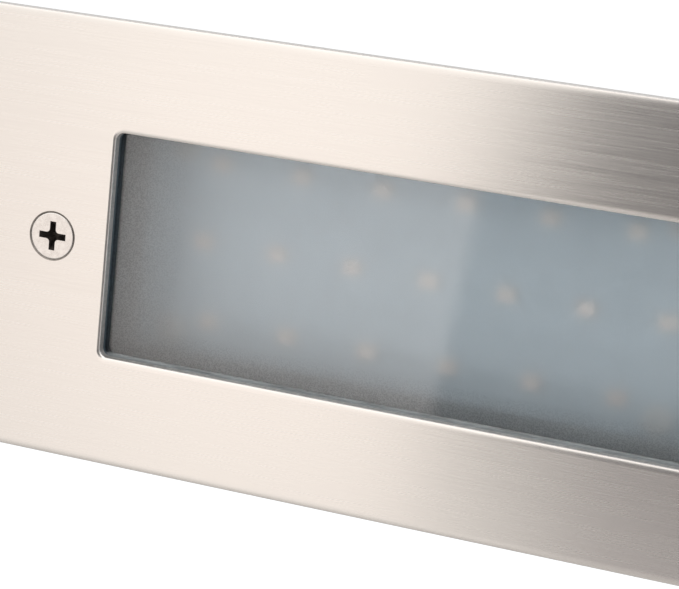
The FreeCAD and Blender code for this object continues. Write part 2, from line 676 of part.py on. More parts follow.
def gear_tray():
    tray = slab(BOARD_HALF_X, BOARD_HALF_Z, BOARD_CORNER, TRAY_FRONT, TRAY_BACK)
    slot = grommet_slot(GROMMET_WALL, TRAY_FRONT - PAST, TRAY_BACK + PAST)
    tag_hole = rod_y(M3_RADIUS + THREAD_PLAY, TRAY_FRONT - PAST, TRAY_BACK + PAST, EARTH_TAG_X, EARTH_Z)
    return carve(tray, board_holes(TRAY_FRONT, TRAY_BACK) + [slot, tag_hole])


def led_places():
    places = []
    rows = ((0.0, MIDDLE_ROW_COUNT, MIDDLE_ROW_PITCH), (ROW_SPACING, OUTER_ROW_COUNT, OUTER_ROW_PITCH),
            (-ROW_SPACING, OUTER_ROW_COUNT, OUTER_ROW_PITCH))
    for z, count, pitch in rows:
        places += [((i - (count - 1) / 2) * pitch, z) for i in range(count)]
    return places


def led_packages():
    front = BOARD_FRONT - LED_HEIGHT
    leds = []
    for x, z in led_places():
        half_x, half_z = LED_LENGTH / 2, LED_WIDTH / 2
        body = block(x - half_x, x + half_x, front, BOARD_FRONT, z - half_z, z + half_z)
        leds.append(body.cut(rod_y(LED_CUP_RADIUS, front - PAST, front + LED_CUP_DEPTH, x, z)))
    return group(leds)


def led_phosphors():
    front = BOARD_FRONT - LED_HEIGHT
    radius = LED_CUP_RADIUS - THREAD_PLAY
    return group([rod_y(radius, front, front + LED_CUP_DEPTH, x, z) for x, z in led_places()])


def board_screws():
    tip = TRAY_BACK + M3_BOSS_DEPTH / 2
    return group([m3_screw(x, z, BOARD_FRONT, tip) for x, z in board_screw_places()])


def driver_case():
    half = DRIVER_HALF_LENGTH
    case = slab(half, DRIVER_HALF_HEIGHT, CASE_CORNER, DRIVER_RIM, ROOM_BACK, DRIVER_MIDDLE)
    ear_front = ROOM_BACK - EAR_THICKNESS
    ears = slab(half + EAR_LENGTH, EAR_WIDTH / 2, CASE_CORNER, ear_front, ROOM_BACK, DRIVER_MIDDLE)
    case = join([case, ears])
    inside = slab(half - DRIVER_WALL, DRIVER_HALF_HEIGHT - DRIVER_WALL, CASE_INNER_CORNER,
                  DRIVER_RIM - PAST, DRIVER_FLOOR, DRIVER_MIDDLE)
    case = case.cut(inside)
    pegs = []
    for x in (PCB_X0 + PEG_INSET, PCB_X1 - PEG_INSET):
        for side in (-1, 1):
            pegs.append(rod_y(PEG_RADIUS, PCB_BACK, ROOM_BACK, x, side * (PCB_HALF_Z - PEG_INSET)))
    case = join([case] + pegs)
    holes = [rod_y(M3_HOLE_RADIUS, ear_front - PAST, ROOM_BACK + PAST, x) for x in ear_screw_places()]
    mains_hole = MAINS_WIRE_RADIUS + DRIVER_FIT
    led_hole = LED_WIRE_RADIUS + DRIVER_FIT
    inside_end = DRIVER_X1 - DRIVER_WALL - PAST
    holes += [rod_x(mains_hole, inside_end, DRIVER_X1 + PAST, POLE_Y, z) for z in (POLE_PITCH, 0.0)]
    holes += [rod_x(led_hole, inside_end, DRIVER_X1 + PAST, LED_WIRE_Y, z) for z in LED_WIRE_ZS]
    return carve(case, holes)


def driver_lid():
    half = DRIVER_HALF_LENGTH
    lid_front = DRIVER_RIM - DRIVER_LID_THICKNESS
    lip_back = DRIVER_RIM + DRIVER_LID_LIP
    top = slab(half, DRIVER_HALF_HEIGHT, CASE_CORNER, lid_front, DRIVER_RIM, DRIVER_MIDDLE)
    lip_x = half - DRIVER_WALL - DRIVER_FIT
    lip_z = DRIVER_HALF_HEIGHT - DRIVER_WALL - DRIVER_FIT
    lip = slab(lip_x, lip_z, CASE_INNER_CORNER, lid_front, lip_back, DRIVER_MIDDLE)
    hollow = slab(lip_x - LID_LIP_WALL, lip_z - LID_LIP_WALL, CASE_INNER_CORNER / 2,
                  DRIVER_RIM, lip_back + PAST, DRIVER_MIDDLE)
    return join([top, lip]).cut(hollow)


def driver_board():
    return block(PCB_X0, PCB_X1, PCB_FRONT, PCB_BACK, -PCB_HALF_Z, PCB_HALF_Z)


def on_board(x, z, half_x, half_z, height):
    """A block-shaped component that stands on the driver's board."""
    return block(x - half_x, x + half_x, PCB_FRONT - height, PCB_FRONT, z - half_z, z + half_z)


def input_terminal():
    half = INPUT_TERMINAL_LENGTH / 2
    x = INPUT_TERMINAL_X
    height = PCB_FRONT - POLE_Y + MAINS_WIRE_RADIUS + TERMINAL_ROOF
    body = on_board(x, POLE_PITCH / 2, half, POLE_PITCH / 2 + TERMINAL_MARGIN, height)
    bore = MAINS_WIRE_RADIUS + THREAD_PLAY
    bore_x0 = x + half - WIRE_IN_TERMINAL - PAST / 2
    return carve(body, [rod_x(bore, bore_x0, x + half + PAST, POLE_Y, z) for z in (POLE_PITCH, 0.0)])


def output_terminal():
    half = OUTPUT_TERMINAL_LENGTH / 2
    x = OUTPUT_TERMINAL_X
    height = PCB_FRONT - LED_WIRE_Y + LED_WIRE_RADIUS + THREAD_PLAY * 2
    body = on_board(x, 0.0, half, LED_WIRE_HALF_SPACING + TERMINAL_MARGIN, height)
    bore = LED_WIRE_RADIUS + THREAD_PLAY
    bore_x0 = x + half - WIRE_IN_TERMINAL - PAST / 2
    return carve(body, [rod_x(bore, bore_x0, x + half + PAST, LED_WIRE_Y, z) for z in LED_WIRE_ZS])


def transformer_core():
    """The ferrite core: a frame with a middle leg, open at two windows."""
    half_x = TRANSFORMER_LENGTH / 2
    half_z = TRANSFORMER_WIDTH / 2
    bottom = TRANSFORMER_TOP + TRANSFORMER_DEPTH
    core = block(TRANSFORMER_X - half_x, TRANSFORMER_X + half_x, TRANSFORMER_TOP, bottom, -half_z, half_z)
    window_z = half_z - TRANSFORMER_LEG
    windows = []
    for side in (-1, 1):
        near = TRANSFORMER_X + side * TRANSFORMER_LEG
        far = TRANSFORMER_X + side * (half_x - TRANSFORMER_LEG)
        x0, x1 = sorted((near, far))
        windows.append(block(x0, x1, TRANSFORMER_TOP - PAST, bottom + PAST, -window_z, window_z))
    return carve(core, windows)


def transformer_winding():
    """The wound bobbin round the core's middle leg, standing on the board."""
    top = PCB_FRONT - PCB_ROOM + WINDING_HEADROOM
    half_x = TRANSFORMER_LENGTH / 2 - TRANSFORMER_LEG - WINDING_PLAY
    half_z = TRANSFORMER_WIDTH / 2 - TRANSFORMER_LEG - WINDING_PLAY
    bobbin = block(TRANSFORMER_X - half_x, TRANSFORMER_X + half_x, top, PCB_FRONT, -half_z, half_z)
    leg = TRANSFORMER_LEG + WINDING_PLAY
    leg_top = TRANSFORMER_TOP - WINDING_PLAY
    leg_bottom = TRANSFORMER_TOP + TRANSFORMER_DEPTH + WINDING_PLAY
    tunnel_z = half_z + PAST
    leg_x0, leg_x1 = TRANSFORMER_X - leg, TRANSFORMER_X + leg
    return bobbin.cut(block(leg_x0, leg_x1, leg_top, leg_bottom, -tunnel_z, tunnel_z))


def choke():
    front = PCB_FRONT - PCB_ROOM + CHOKE_HEADROOM
    waist_front = front + CHOKE_FLANGE
    waist_back = PCB_FRONT - CHOKE_FLANGE
    profile = [
        (0, front),
        (CHOKE_RADIUS, front),
        (CHOKE_RADIUS, waist_front),
        (CHOKE_WAIST_RADIUS, waist_front),
        (CHOKE_WAIST_RADIUS, waist_back),
        (CHOKE_RADIUS, waist_back),
        (CHOKE_RADIUS, PCB_FRONT),
        (0, PCB_FRONT),
    ]
    return turned_y(profile, CHOKE_X, CHOKE_Z)


def bridge_rectifier():
    return on_board(CHOKE_X, BRIDGE_Z, BRIDGE_LENGTH / 2, BRIDGE_WIDTH / 2, BRIDGE_HEIGHT)


def driver_capacitors():
    """Two large and one small electrolytic can, rounded at the top."""
    front = PCB_FRONT - PCB_ROOM + CAN_HEADROOM
    places = [
        (BIG_CAN_X, BIG_CAN_Z, BIG_CAN_RADIUS),
        (BIG_CAN_X, -BIG_CAN_Z, BIG_CAN_RADIUS),
        (SMALL_CAN_X, 0.0, SMALL_CAN_RADIUS),
    ]
    cans = []
    for x, z, radius in places:
        can = rod_y(radius, front, PCB_FRONT, x, z)
        rim = [e for e in can.Edges if e.Closed and abs(e.CenterOfMass.y - front) < 1e-6]
        cans.append(can.makeFillet(CAN_ROUND, rim))
    return group(cans)


def film_capacitor():
    height = PCB_ROOM - FILM_HEADROOM
    return on_board(FILM_X, 0.0, FILM_LENGTH / 2, FILM_WIDTH / 2, height)


def fuse():
    return rod_y(FUSE_RADIUS, PCB_FRONT - FUSE_HEIGHT, PCB_FRONT, INPUT_TERMINAL_X, FUSE_Z)


def driver_screws():
    seat = ROOM_BACK - EAR_THICKNESS
    return group([m3_screw(x, 0.0, seat, HOUSING_BACK) for x in ear_screw_places()])


def pole_places():
    return [(i - (POLE_COUNT - 1) / 2) * POLE_PITCH for i in range(POLE_COUNT)]


def pole_screw_places():
    return [(BLOCK_MIDDLE_X + side * POLE_SCREW_SPACING / 2, z) for z in pole_places() for side in (-1, 1)]


def terminal_block():
    body = block(BLOCK_X0, BLOCK_X1, BLOCK_FRONT, ROOM_BACK, -BLOCK_HALF_Z, BLOCK_HALF_Z)
    clamp_hole = CLAMP_OUTER + DRIVER_FIT
    holes = [rod_x(clamp_hole, BLOCK_X0 - PAST, BLOCK_X1 + PAST, POLE_Y, z) for z in pole_places()]
    screw_hole = POLE_SCREW_RADIUS + DRIVER_FIT
    holes += [rod_y(screw_hole, BLOCK_FRONT - PAST, POLE_Y, x, z) for x, z in pole_screw_places()]
    for x, z in block_screw_places():
        holes.append(rod_y(M3_HOLE_RADIUS, BLOCK_FRONT - PAST, ROOM_BACK + PAST, x, z))
        holes.append(rod_y(M3_HEAD_RADIUS + DRIVER_FIT, BLOCK_FRONT - PAST, BLOCK_SCREW_SEAT, x, z))
    notch_z = BLOCK_HALF_Z + PAST
    notch_back = BLOCK_FRONT + BLOCK_NOTCH_DEPTH
    for x0 in (BLOCK_X0 - PAST, BLOCK_X1 - BLOCK_NOTCH_LENGTH):
        x1 = x0 + BLOCK_NOTCH_LENGTH + PAST
        holes.append(block(x0, x1, BLOCK_FRONT - PAST, notch_back, -notch_z, notch_z))
    return carve(body, holes)


def terminal_clamps():
    clamps = []
    for z in pole_places():
        half = CLAMP_LENGTH / 2
        tube = rod_x(CLAMP_OUTER, BLOCK_MIDDLE_X - half, BLOCK_MIDDLE_X + half, POLE_Y, z)
        bore = rod_x(CLAMP_INNER, BLOCK_X0 - PAST, BLOCK_X1 + PAST, POLE_Y, z)
        tap = POLE_SCREW_RADIUS + THREAD_PLAY
        taps = [rod_y(tap, BLOCK_FRONT, POLE_Y, x, sz) for x, sz in pole_screw_places() if sz == z]
        clamps.append(carve(tube, [bore] + taps))
    return group(clamps)


def terminal_screws():
    top = BLOCK_FRONT + POLE_SCREW_SINK
    grub = POLE_Y - MAINS_WIRE_RADIUS - DRIVER_FIT
    screws = []
    for x, z in pole_screw_places():
        across = POLE_SCREW_RADIUS + PAST
        half_slot = POLE_SLOT_WIDTH / 2
        slot_floor = top + POLE_SLOT_DEPTH
        slot = block(x - across, x + across, top - PAST, slot_floor, z - half_slot, z + half_slot)
        screws.append(rod_y(POLE_SCREW_RADIUS, top, grub, x, z).cut(slot))
    return group(screws)


def block_screws():
    return group([m3_screw(x, z, BLOCK_SCREW_SEAT, HOUSING_BACK) for x, z in block_screw_places()])


def mains_wire(z):
    """A straight lead from a pole of the block into the driver's input terminal."""
    inner_end = PCB_X1 - INPUT_TERMINAL_INSET - WIRE_IN_TERMINAL
    return rod_x(MAINS_WIRE_RADIUS, inner_end, BLOCK_X0 + WIRE_IN_CLAMP, POLE_Y, z)


def live_wire():
    return mains_wire(POLE_PITCH)


def neutral_wire():
    return mains_wire(0.0)


def earth_wire():
    points = [
        Vector(BLOCK_X0 + WIRE_IN_CLAMP, POLE_Y, EARTH_Z),
        Vector(BLOCK_X0 - EARTH_BEND_RUN, POLE_Y, EARTH_Z),
        Vector(DRIVER_X1 + EARTH_BEND_RUN, EARTH_LEAD_Y, EARTH_Z),
        Vector(EARTH_BARREL_X - EARTH_WIRE_IN_BARREL, EARTH_LEAD_Y, EARTH_Z),
    ]
    return routed_tube(points, MAINS_WIRE_RADIUS)


def earth_ring():
    """The ring terminal that bonds the tray: a flat eye and a crimped barrel."""
    y0 = TRAY_BACK
    y1 = y0 + EARTH_TAG_THICKNESS
    wire_end = EARTH_BARREL_X - EARTH_WIRE_IN_BARREL
    barrel_x0 = wire_end - EARTH_BARREL_END
    barrel_x1 = barrel_x0 + EARTH_BARREL_LENGTH
    half_neck = EARTH_NECK_WIDTH / 2
    eye = rod_y(EARTH_EYE_RADIUS, y0, y1, EARTH_TAG_X, EARTH_Z)
    neck = block(EARTH_TAG_X, barrel_x0 + THREAD_PLAY, y0, y1, EARTH_Z - half_neck, EARTH_Z + half_neck)
    outer = MAINS_WIRE_RADIUS + EARTH_BARREL_WALL
    barrel = rod_x(outer, barrel_x0, barrel_x1, EARTH_LEAD_Y, EARTH_Z)
    tray_side = block(barrel_x0 - PAST, barrel_x1 + PAST, y0 - outer, y0, EARTH_Z - outer, EARTH_Z + outer)
    bore_radius = MAINS_WIRE_RADIUS + THREAD_PLAY
    bore = rod_x(bore_radius, wire_end - THREAD_PLAY, barrel_x1 + PAST, EARTH_LEAD_Y, EARTH_Z)
    hole = rod_y(M3_HOLE_RADIUS, y0 - PAST, y1 + PAST, EARTH_TAG_X, EARTH_Z)
    return carve(join([eye, neck, barrel]), [tray_side, bore, hole])


def earth_screw():
    """A short screw from behind the tray, its head on the ring terminal."""
    seat = TRAY_BACK + EARTH_TAG_THICKNESS
    back = seat + M3_HEAD_HEIGHT
    head = rod_y(M3_HEAD_RADIUS, seat, back, EARTH_TAG_X, EARTH_Z)
    shank = rod_y(M3_RADIUS, TRAY_FRONT + THREAD_PLAY, seat, EARTH_TAG_X, EARTH_Z)
    across = M3_HEAD_RADIUS + PAST
    half_slot = EARTH_SLOT_WIDTH / 2
    slot = block(EARTH_TAG_X - across, EARTH_TAG_X + across, back - EARTH_SLOT_DEPTH, back + PAST,
                 EARTH_Z - half_slot, EARTH_Z + half_slot)
    return join([head, shank]).cut(slot)


def led_wire(side):
    z = side * LED_WIRE_HALF_SPACING
    wire_start = OUTPUT_TERMINAL_X + OUTPUT_TERMINAL_LENGTH / 2 - WIRE_IN_TERMINAL
    points = [
        Vector(wire_start, LED_WIRE_Y, z),
        Vector(LED_WIRE_X, LED_WIRE_Y, z),
        Vector(LED_WIRE_X, BOARD_FRONT - LED_WIRE_PROUD, z),
    ]
    return routed_tube(points, LED_WIRE_RADIUS)


def led_positive_wire():
    return led_wire(1)


def led_negative_wire():
    return led_wire(-1)


def wire_grommet():
    """A rubber liner in the tray's slot with a hole for each LED lead."""
    body = grommet_slot(GROMMET_WALL - THREAD_PLAY, TRAY_FRONT, TRAY_BACK)
    flange = grommet_slot(GROMMET_WALL + GROMMET_FLANGE, TRAY_BACK, TRAY_BACK + GROMMET_FLANGE)
    bore = LED_WIRE_RADIUS + THREAD_PLAY
    ends = (TRAY_FRONT - PAST, TRAY_BACK + GROMMET_FLANGE + PAST)
    holes = [rod_y(bore, *ends, LED_WIRE_X, z) for z in LED_WIRE_ZS]
    return carve(join([body, flange]), holes)


def gland_body():
    hexagon_part = hexagon(GLAND_FLATS, Vector(GLAND_HEX_X, GLAND_Y, 0), Vector(1, 0, 0), GLAND_HEX_LENGTH)
    inner = rod_x(GLAND_THREAD_RADIUS, GLAND_INNER_X, GLAND_HEX_X, GLAND_Y)
    top = rod_x(GLAND_TOP_RADIUS, GLAND_TOP_X, GLAND_END_X, GLAND_Y)
    body = join([inner, hexagon_part, top])
    pocket_x0 = GLAND_END_X - GLAND_SEAL_LENGTH
    seal_pocket = rod_x(GLAND_SEAL_RADIUS + DRIVER_FIT, pocket_x0, GLAND_END_X + PAST, GLAND_Y)
    through = rod_x(GLAND_BORE_RADIUS, GLAND_INNER_X - PAST, GLAND_END_X, GLAND_Y)
    return carve(body, [seal_pocket, through])


def gland_washer():
    ring = rod_x(GLAND_WASHER_RADIUS, HOUSING_END, GLAND_HEX_X, GLAND_Y)
    return ring.cut(rod_x(GLAND_HOLE_RADIUS, HOUSING_END - PAST, GLAND_HEX_X + PAST, GLAND_Y))


def gland_locknut():
    start = Vector(ROOM_RIGHT - LOCKNUT_LENGTH, GLAND_Y, 0)
    nut = hexagon(GLAND_FLATS, start, Vector(1, 0, 0), LOCKNUT_LENGTH)
    bore = rod_x(GLAND_THREAD_RADIUS + THREAD_PLAY, start.x - PAST, ROOM_RIGHT + PAST, GLAND_Y)
    return nut.cut(bore)


def gland_seal():
    x0 = GLAND_END_X - GLAND_SEAL_LENGTH
    x1 = GLAND_END_X + GLAND_SEAL_PROUD
    bore = rod_x(GLAND_SEAL_BORE, x0 - PAST, x1 + PAST, GLAND_Y)
    return rod_x(GLAND_SEAL_RADIUS, x0, x1, GLAND_Y).cut(bore)


def gland_slip_ring():
    x0 = GLAND_END_X + GLAND_SEAL_PROUD + GLAND_NUT_PLAY
    x1 = x0 + SLIP_RING_THICKNESS
    bore = rod_x(GLAND_NUT_HOLE, x0 - PAST, x1 + PAST, GLAND_Y)
    return rod_x(GLAND_TOP_RADIUS - SLIP_RING_PLAY, x0, x1, GLAND_Y).cut(bore)


def gland_nut():
    """The domed nut that squeezes the seal, with six grip flats."""
    start = GLAND_TOP_X + GLAND_NUT_START
    inner_end = GLAND_END_X + GLAND_SEAL_PROUD + SLIP_RING_THICKNESS + 2 * GLAND_NUT_PLAY
    end = start + GLAND_NUT_LENGTH
    corner = GLAND_FLATS / math.sqrt(3)
    shoulder = (corner + GLAND_NUT_HOLE + GLAND_DOME_SHOULDER) / 2 + GLAND_DOME_SHOULDER
    dome = turned_x([
        (0, start),
        (corner, start),
        (corner, end - GLAND_DOME_LENGTH),
        (shoulder, end - GLAND_DOME_SHOULDER),
        (GLAND_NUT_HOLE + GLAND_DOME_SHOULDER, end),
        (0, end),
    ], GLAND_Y)
    prism = hexagon(GLAND_FLATS, Vector(start, GLAND_Y, 0), Vector(1, 0, 0), GLAND_NUT_LENGTH)
    bore = rod_x(GLAND_TOP_RADIUS + GLAND_NUT_PLAY, start - PAST, inner_end, GLAND_Y)
    mouth = turned_x([
        (0, inner_end - PAST),
        (GLAND_NUT_HOLE, inner_end - PAST),
        (GLAND_NUT_HOLE, end - GLAND_MOUTH_BEVEL),
        (GLAND_NUT_HOLE + GLAND_MOUTH_BEVEL, end),
        (GLAND_NUT_HOLE + GLAND_MOUTH_BEVEL, end + PAST),
        (0, end + PAST),
    ], GLAND_Y)
    return carve(dome.common(prism), [bore, mouth])


def box_frame():
    """The taller frame in front of the wall box: flange, shelf and the bosses for the face screws."""
    outer = slab(BOX_HALF_X, FRAME_HALF_Z, BOX_CORNER, 0, FRAME_DEPTH)
    flange_x = BOX_HALF_X + BOX_FLANGE
    flange_z = FRAME_HALF_Z + BOX_FLANGE_HEIGHT
    flange = slab(flange_x, flange_z, BOX_CORNER, 0, BOX_FLANGE_THICKNESS)
    corner = BOX_CORNER - BOX_WALL / 2
    shell = carve(join([outer, flange]), [
        slab(BOX_INNER_X, FRAME_INNER_Z, corner, -PAST, FRAME_DEPTH - FRAME_SHELF),
        slab(BOX_INNER_X, BOX_INNER_Z, corner, -PAST, FRAME_DEPTH + PAST),
    ])
    bosses = []
    holes = []
    for side in (-1, 1):
        x = side * SCREW_X
        bosses.append(rod_y(BOSS_RADIUS, BOSS_START, BOSS_START + BOSS_LENGTH, x))
        x0, x1 = sorted((x, side * (BOX_HALF_X - BOX_WALL / 2)))
        bosses.append(block(x0, x1, BOSS_START, FRAME_DEPTH, -BOSS_WEB / 2, BOSS_WEB / 2))
        tip_room = BOSS_START + BOSS_LENGTH - BOSS_FLOOR
        holes.append(rod_y(INSERT_RADIUS, BOSS_START - PAST, BOSS_START + INSERT_LENGTH, x))
        holes.append(rod_y(SCREW_HOLE_RADIUS, BOSS_START, tip_room, x))
    return carve(join([shell] + bosses), holes)


def key_ribs():
    """Low ribs on the top and bottom of the wall box that key into mortar."""
    pitch = 2 * (BOX_HALF_X - KEY_RIB_FROM_END) / (KEY_RIB_COUNT - 1)
    half = KEY_RIB_WIDTH / 2
    rib_z = BOX_HALF_Z + KEY_RIB_HEIGHT
    y0, y1 = FRAME_DEPTH + KEY_RIB_START_GAP, BOX_BACK - KEY_RIB_END_GAP
    middles = [(i - (KEY_RIB_COUNT - 1) / 2) * pitch for i in range(KEY_RIB_COUNT)]
    return [block(x - half, x + half, y0, y1, -rib_z, rib_z) for x in middles]


def wall_box():
    """The box behind the frame, with a conduit entry at each end."""
    outer = slab(BOX_HALF_X, BOX_HALF_Z, BOX_CORNER, FRAME_DEPTH, BOX_BACK)
    spigot_end = BOX_HALF_X + SPIGOT_LENGTH
    spigot = rod_x(CONDUIT_RADIUS + SPIGOT_WALL, BOX_HALF_X - PAST, spigot_end, GLAND_Y)
    shell = join([outer, spigot] + key_ribs())
    corner = BOX_CORNER - BOX_WALL / 2
    holes = [
        slab(BOX_INNER_X, BOX_INNER_Z, corner, FRAME_DEPTH - PAST, BOX_BACK - BOX_WALL),
        rod_x(CONDUIT_RADIUS, BOX_INNER_X - PAST, spigot_end + PAST, GLAND_Y),
        rod_x(CONDUIT_RADIUS, -BOX_HALF_X - PAST, -BOX_INNER_X + PAST, GLAND_Y),
    ]
    back = (BOX_BACK - BOX_WALL - PAST, BOX_BACK + PAST)
    holes += [rod_y(FIXING_RADIUS, *back, side * FIXING_HALF_SPACING) for side in (-1, 1)]
    return carve(shell, holes)


def brass_inserts():
    inserts = []
    for side in (-1, 1):
        x = side * SCREW_X
        end = BOSS_START + INSERT_LENGTH
        body = rod_y(INSERT_RADIUS - INSERT_PLAY, BOSS_START, end, x)
        inserts.append(body.cut(rod_y(INSERT_BORE, BOSS_START - PAST, end + PAST, x)))
    return group(inserts)


def entry_plug():
    """The blanking plug in the conduit entry that isn't used."""
    face = -BOX_HALF_X
    flange = rod_x(CONDUIT_RADIUS + PLUG_FLANGE, face - PLUG_THICKNESS, face, GLAND_Y)
    skirt_end = face + BOX_WALL + PLUG_SKIRT_PROUD
    skirt = rod_x(CONDUIT_RADIUS - INSERT_PLAY, face - PLUG_THICKNESS, skirt_end, GLAND_Y)
    hollow = rod_x(CONDUIT_RADIUS - PLUG_WALL, face, skirt_end + PAST, GLAND_Y)
    return join([flange, skirt]).cut(hollow)


PIECES = {
    "wall_box": wall_box,
    "box_frame": box_frame,
    "brass_inserts": brass_inserts,
    "entry_plug": entry_plug,
    "faceplate": faceplate,
    "plate_studs": plate_studs,
    "stud_washers": stud_washers,
    "stud_nuts": stud_nuts,
    "face_gasket": face_gasket,
    "glass_pane": glass_pane,
    "glass_seal": glass_seal,
    "housing": housing,
    "gear_tray": gear_tray,
    "led_board": led_board,
    "led_packages": led_packages,
    "led_phosphors": led_phosphors,
    "board_screws": board_screws,
    "driver_case": driver_case,
    "driver_lid": driver_lid,
    "driver_board": driver_board,
    "input_terminal": input_terminal,
    "output_terminal": output_terminal,
    "transformer_core": transformer_core,
    "transformer_winding": transformer_winding,
    "choke": choke,
    "bridge_rectifier": bridge_rectifier,
    "driver_capacitors": driver_capacitors,
    "film_capacitor": film_capacitor,
    "fuse": fuse,
    "driver_screws": driver_screws,
    "terminal_block": terminal_block,
    "terminal_clamps": terminal_clamps,
    "terminal_screws": terminal_screws,
    "block_screws": block_screws,
    "live_wire": live_wire,
    "neutral_wire": neutral_wire,
    "earth_wire": earth_wire,
    "led_positive_wire": led_positive_wire,
    "led_negative_wire": led_negative_wire,
    "wire_grommet": wire_grommet,
    "earth_ring": earth_ring,
    "earth_screw": earth_screw,
    "gland_body": gland_body,
    "gland_washer": gland_washer,
    "gland_locknut": gland_locknut,
    "gland_seal": gland_seal,
    "gland_slip_ring": gland_slip_ring,
    "gland_nut": gland_nut,
    "left_head_seal": lambda: head_seal(-SCREW_X),
    "left_face_screw": lambda: face_screw(-SCREW_X),
    "right_head_seal": lambda: head_seal(SCREW_X),
    "right_face_screw": lambda: face_screw(SCREW_X),
}

for name, make in PIECES.items():
    shape = make()
    solids = shape.Solids
    piece = solids[0] if len(solids) == 1 else Part.makeCompound(solids)
    piece.exportStep("parts/" + name + ".step")
    print("%-20s solids %2d volume %10.1f" % (name, len(solids), piece.Volume))
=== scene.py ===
import json
import math

import bmesh
import bpy
from bpy.props import FloatProperty, FloatVectorProperty, IntProperty, PointerProperty
from mathutils import Matrix, Vector


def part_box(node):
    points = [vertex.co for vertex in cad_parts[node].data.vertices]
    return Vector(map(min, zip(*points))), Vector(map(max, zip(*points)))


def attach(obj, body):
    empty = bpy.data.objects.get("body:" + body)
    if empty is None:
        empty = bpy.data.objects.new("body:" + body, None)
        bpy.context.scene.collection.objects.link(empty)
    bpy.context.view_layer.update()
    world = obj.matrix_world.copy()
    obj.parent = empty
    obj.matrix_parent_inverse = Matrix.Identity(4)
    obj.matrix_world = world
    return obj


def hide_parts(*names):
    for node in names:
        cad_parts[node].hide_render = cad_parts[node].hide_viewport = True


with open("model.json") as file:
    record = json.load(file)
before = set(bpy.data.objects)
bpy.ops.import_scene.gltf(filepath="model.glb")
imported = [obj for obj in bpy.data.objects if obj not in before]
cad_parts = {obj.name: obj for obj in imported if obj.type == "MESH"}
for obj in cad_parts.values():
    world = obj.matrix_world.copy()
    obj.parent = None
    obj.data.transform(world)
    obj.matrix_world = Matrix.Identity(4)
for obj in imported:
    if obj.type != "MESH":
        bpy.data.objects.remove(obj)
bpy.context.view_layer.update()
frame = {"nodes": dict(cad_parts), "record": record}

bl_info = {
    "name": "Recessed Step Light",
    "version": (1, 0, 0),
    "blender": (4, 5, 0),
    "location": "View3D > Sidebar > Step Light",
    "description": "Dresses a brick-size step light: plate, glass, LED board, screws and the box behind them",
    "category": "Object",
}

# One millimetre in the scene's metres
MM = 0.001

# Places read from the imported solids
PLATE_LOW, PLATE_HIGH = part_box("faceplate")
PANE_LOW, PANE_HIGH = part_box("glass_pane")
SCREW_LOW, SCREW_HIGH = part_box("right_face_screw")
LED_LOW, LED_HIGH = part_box("led_packages")
PHOSPHOR_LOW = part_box("led_phosphors")[0]
STUD_LOW, STUD_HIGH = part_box("plate_studs")

SCREW_X = (SCREW_LOW.x + SCREW_HIGH.x) / 2
STUD_RADIUS = 1.5 * MM
STUD_FOOT = 0.5 * MM


# ---------------------------------------------------------------- sizes and colours


class StepLightSizes(bpy.types.PropertyGroup):
    """Sizes of the shown pieces."""

    window_length: FloatProperty(
        name="Window length", description="Opening in the plate, along it", default=182 * MM, unit="LENGTH")
    window_height: FloatProperty(
        name="Window height", description="Opening in the plate, upright", default=41.2 * MM, unit="LENGTH")
    plate_corner: FloatProperty(
        name="Corner", description="Radius of the plate's and the window's corners", default=1.5 * MM,
        unit="LENGTH")
    outer_roll: FloatProperty(
        name="Outer roll", description="How far the plate's outer edges roll off", default=1.3 * MM,
        unit="LENGTH")
    outer_drop: FloatProperty(
        name="Outer drop", description="How deep the outer edges roll", default=0.28 * MM, unit="LENGTH")
    window_roll: FloatProperty(
        name="Window roll", description="How far the window's long edges roll off", default=1.1 * MM,
        unit="LENGTH")
    window_end_roll: FloatProperty(
        name="Window end roll", description="How far the window's short edges roll off", default=0.6 * MM,
        unit="LENGTH")
    window_drop: FloatProperty(
        name="Window drop", description="How deep the window's edges roll", default=0.42 * MM, unit="LENGTH")
    back_edge: FloatProperty(
        name="Back edge", description="Rounding of the edges at the back", default=0.16 * MM, unit="LENGTH")
    # Partly painted shade: deeper than this, the window's walls take the dark border's finish, a sealant
    # darkened as painted shade, lighter at the bottom as painted light.
    bead_and_shade_level: FloatProperty(
        name="Bead level", description="Where the bead of sealant on the window's walls begins",
        default=1.7 * MM, unit="LENGTH")
    window_land: FloatProperty(
        name="Window land", description="How far the rolled edge reaches into the opening",
        default=0.3 * MM, unit="LENGTH")
    countersink: FloatProperty(
        name="Countersink", description="Radius of the screw seats at the face", default=4.42 * MM,
        unit="LENGTH")
    screw_hole: FloatProperty(
        name="Screw hole", description="Radius of the plate's screw holes", default=2.25 * MM, unit="LENGTH")
    thread_pitch: FloatProperty(
        name="Screw pitch", description="Pitch of the face screws' thread", default=0.7 * MM, unit="LENGTH")
    pane_edge: FloatProperty(
        name="Pane edge", description="Ground edge of the glass", default=0.3 * MM, unit="LENGTH")
    middle_count: IntProperty(name="Middle row", description="LEDs in the middle row", default=12, min=1)
    middle_pitch: FloatProperty(
        name="Middle pitch", description="Spacing in the middle row", default=14.43 * MM, unit="LENGTH")
    outer_count: IntProperty(name="Outer rows", description="LEDs in each outer row", default=11, min=1)
    outer_pitch: FloatProperty(
        name="Outer pitch", description="Spacing in the outer rows", default=15.4 * MM, unit="LENGTH")
    row_spacing: FloatProperty(
        name="Row spacing", description="Between the rows of LEDs", default=14.64 * MM, unit="LENGTH")


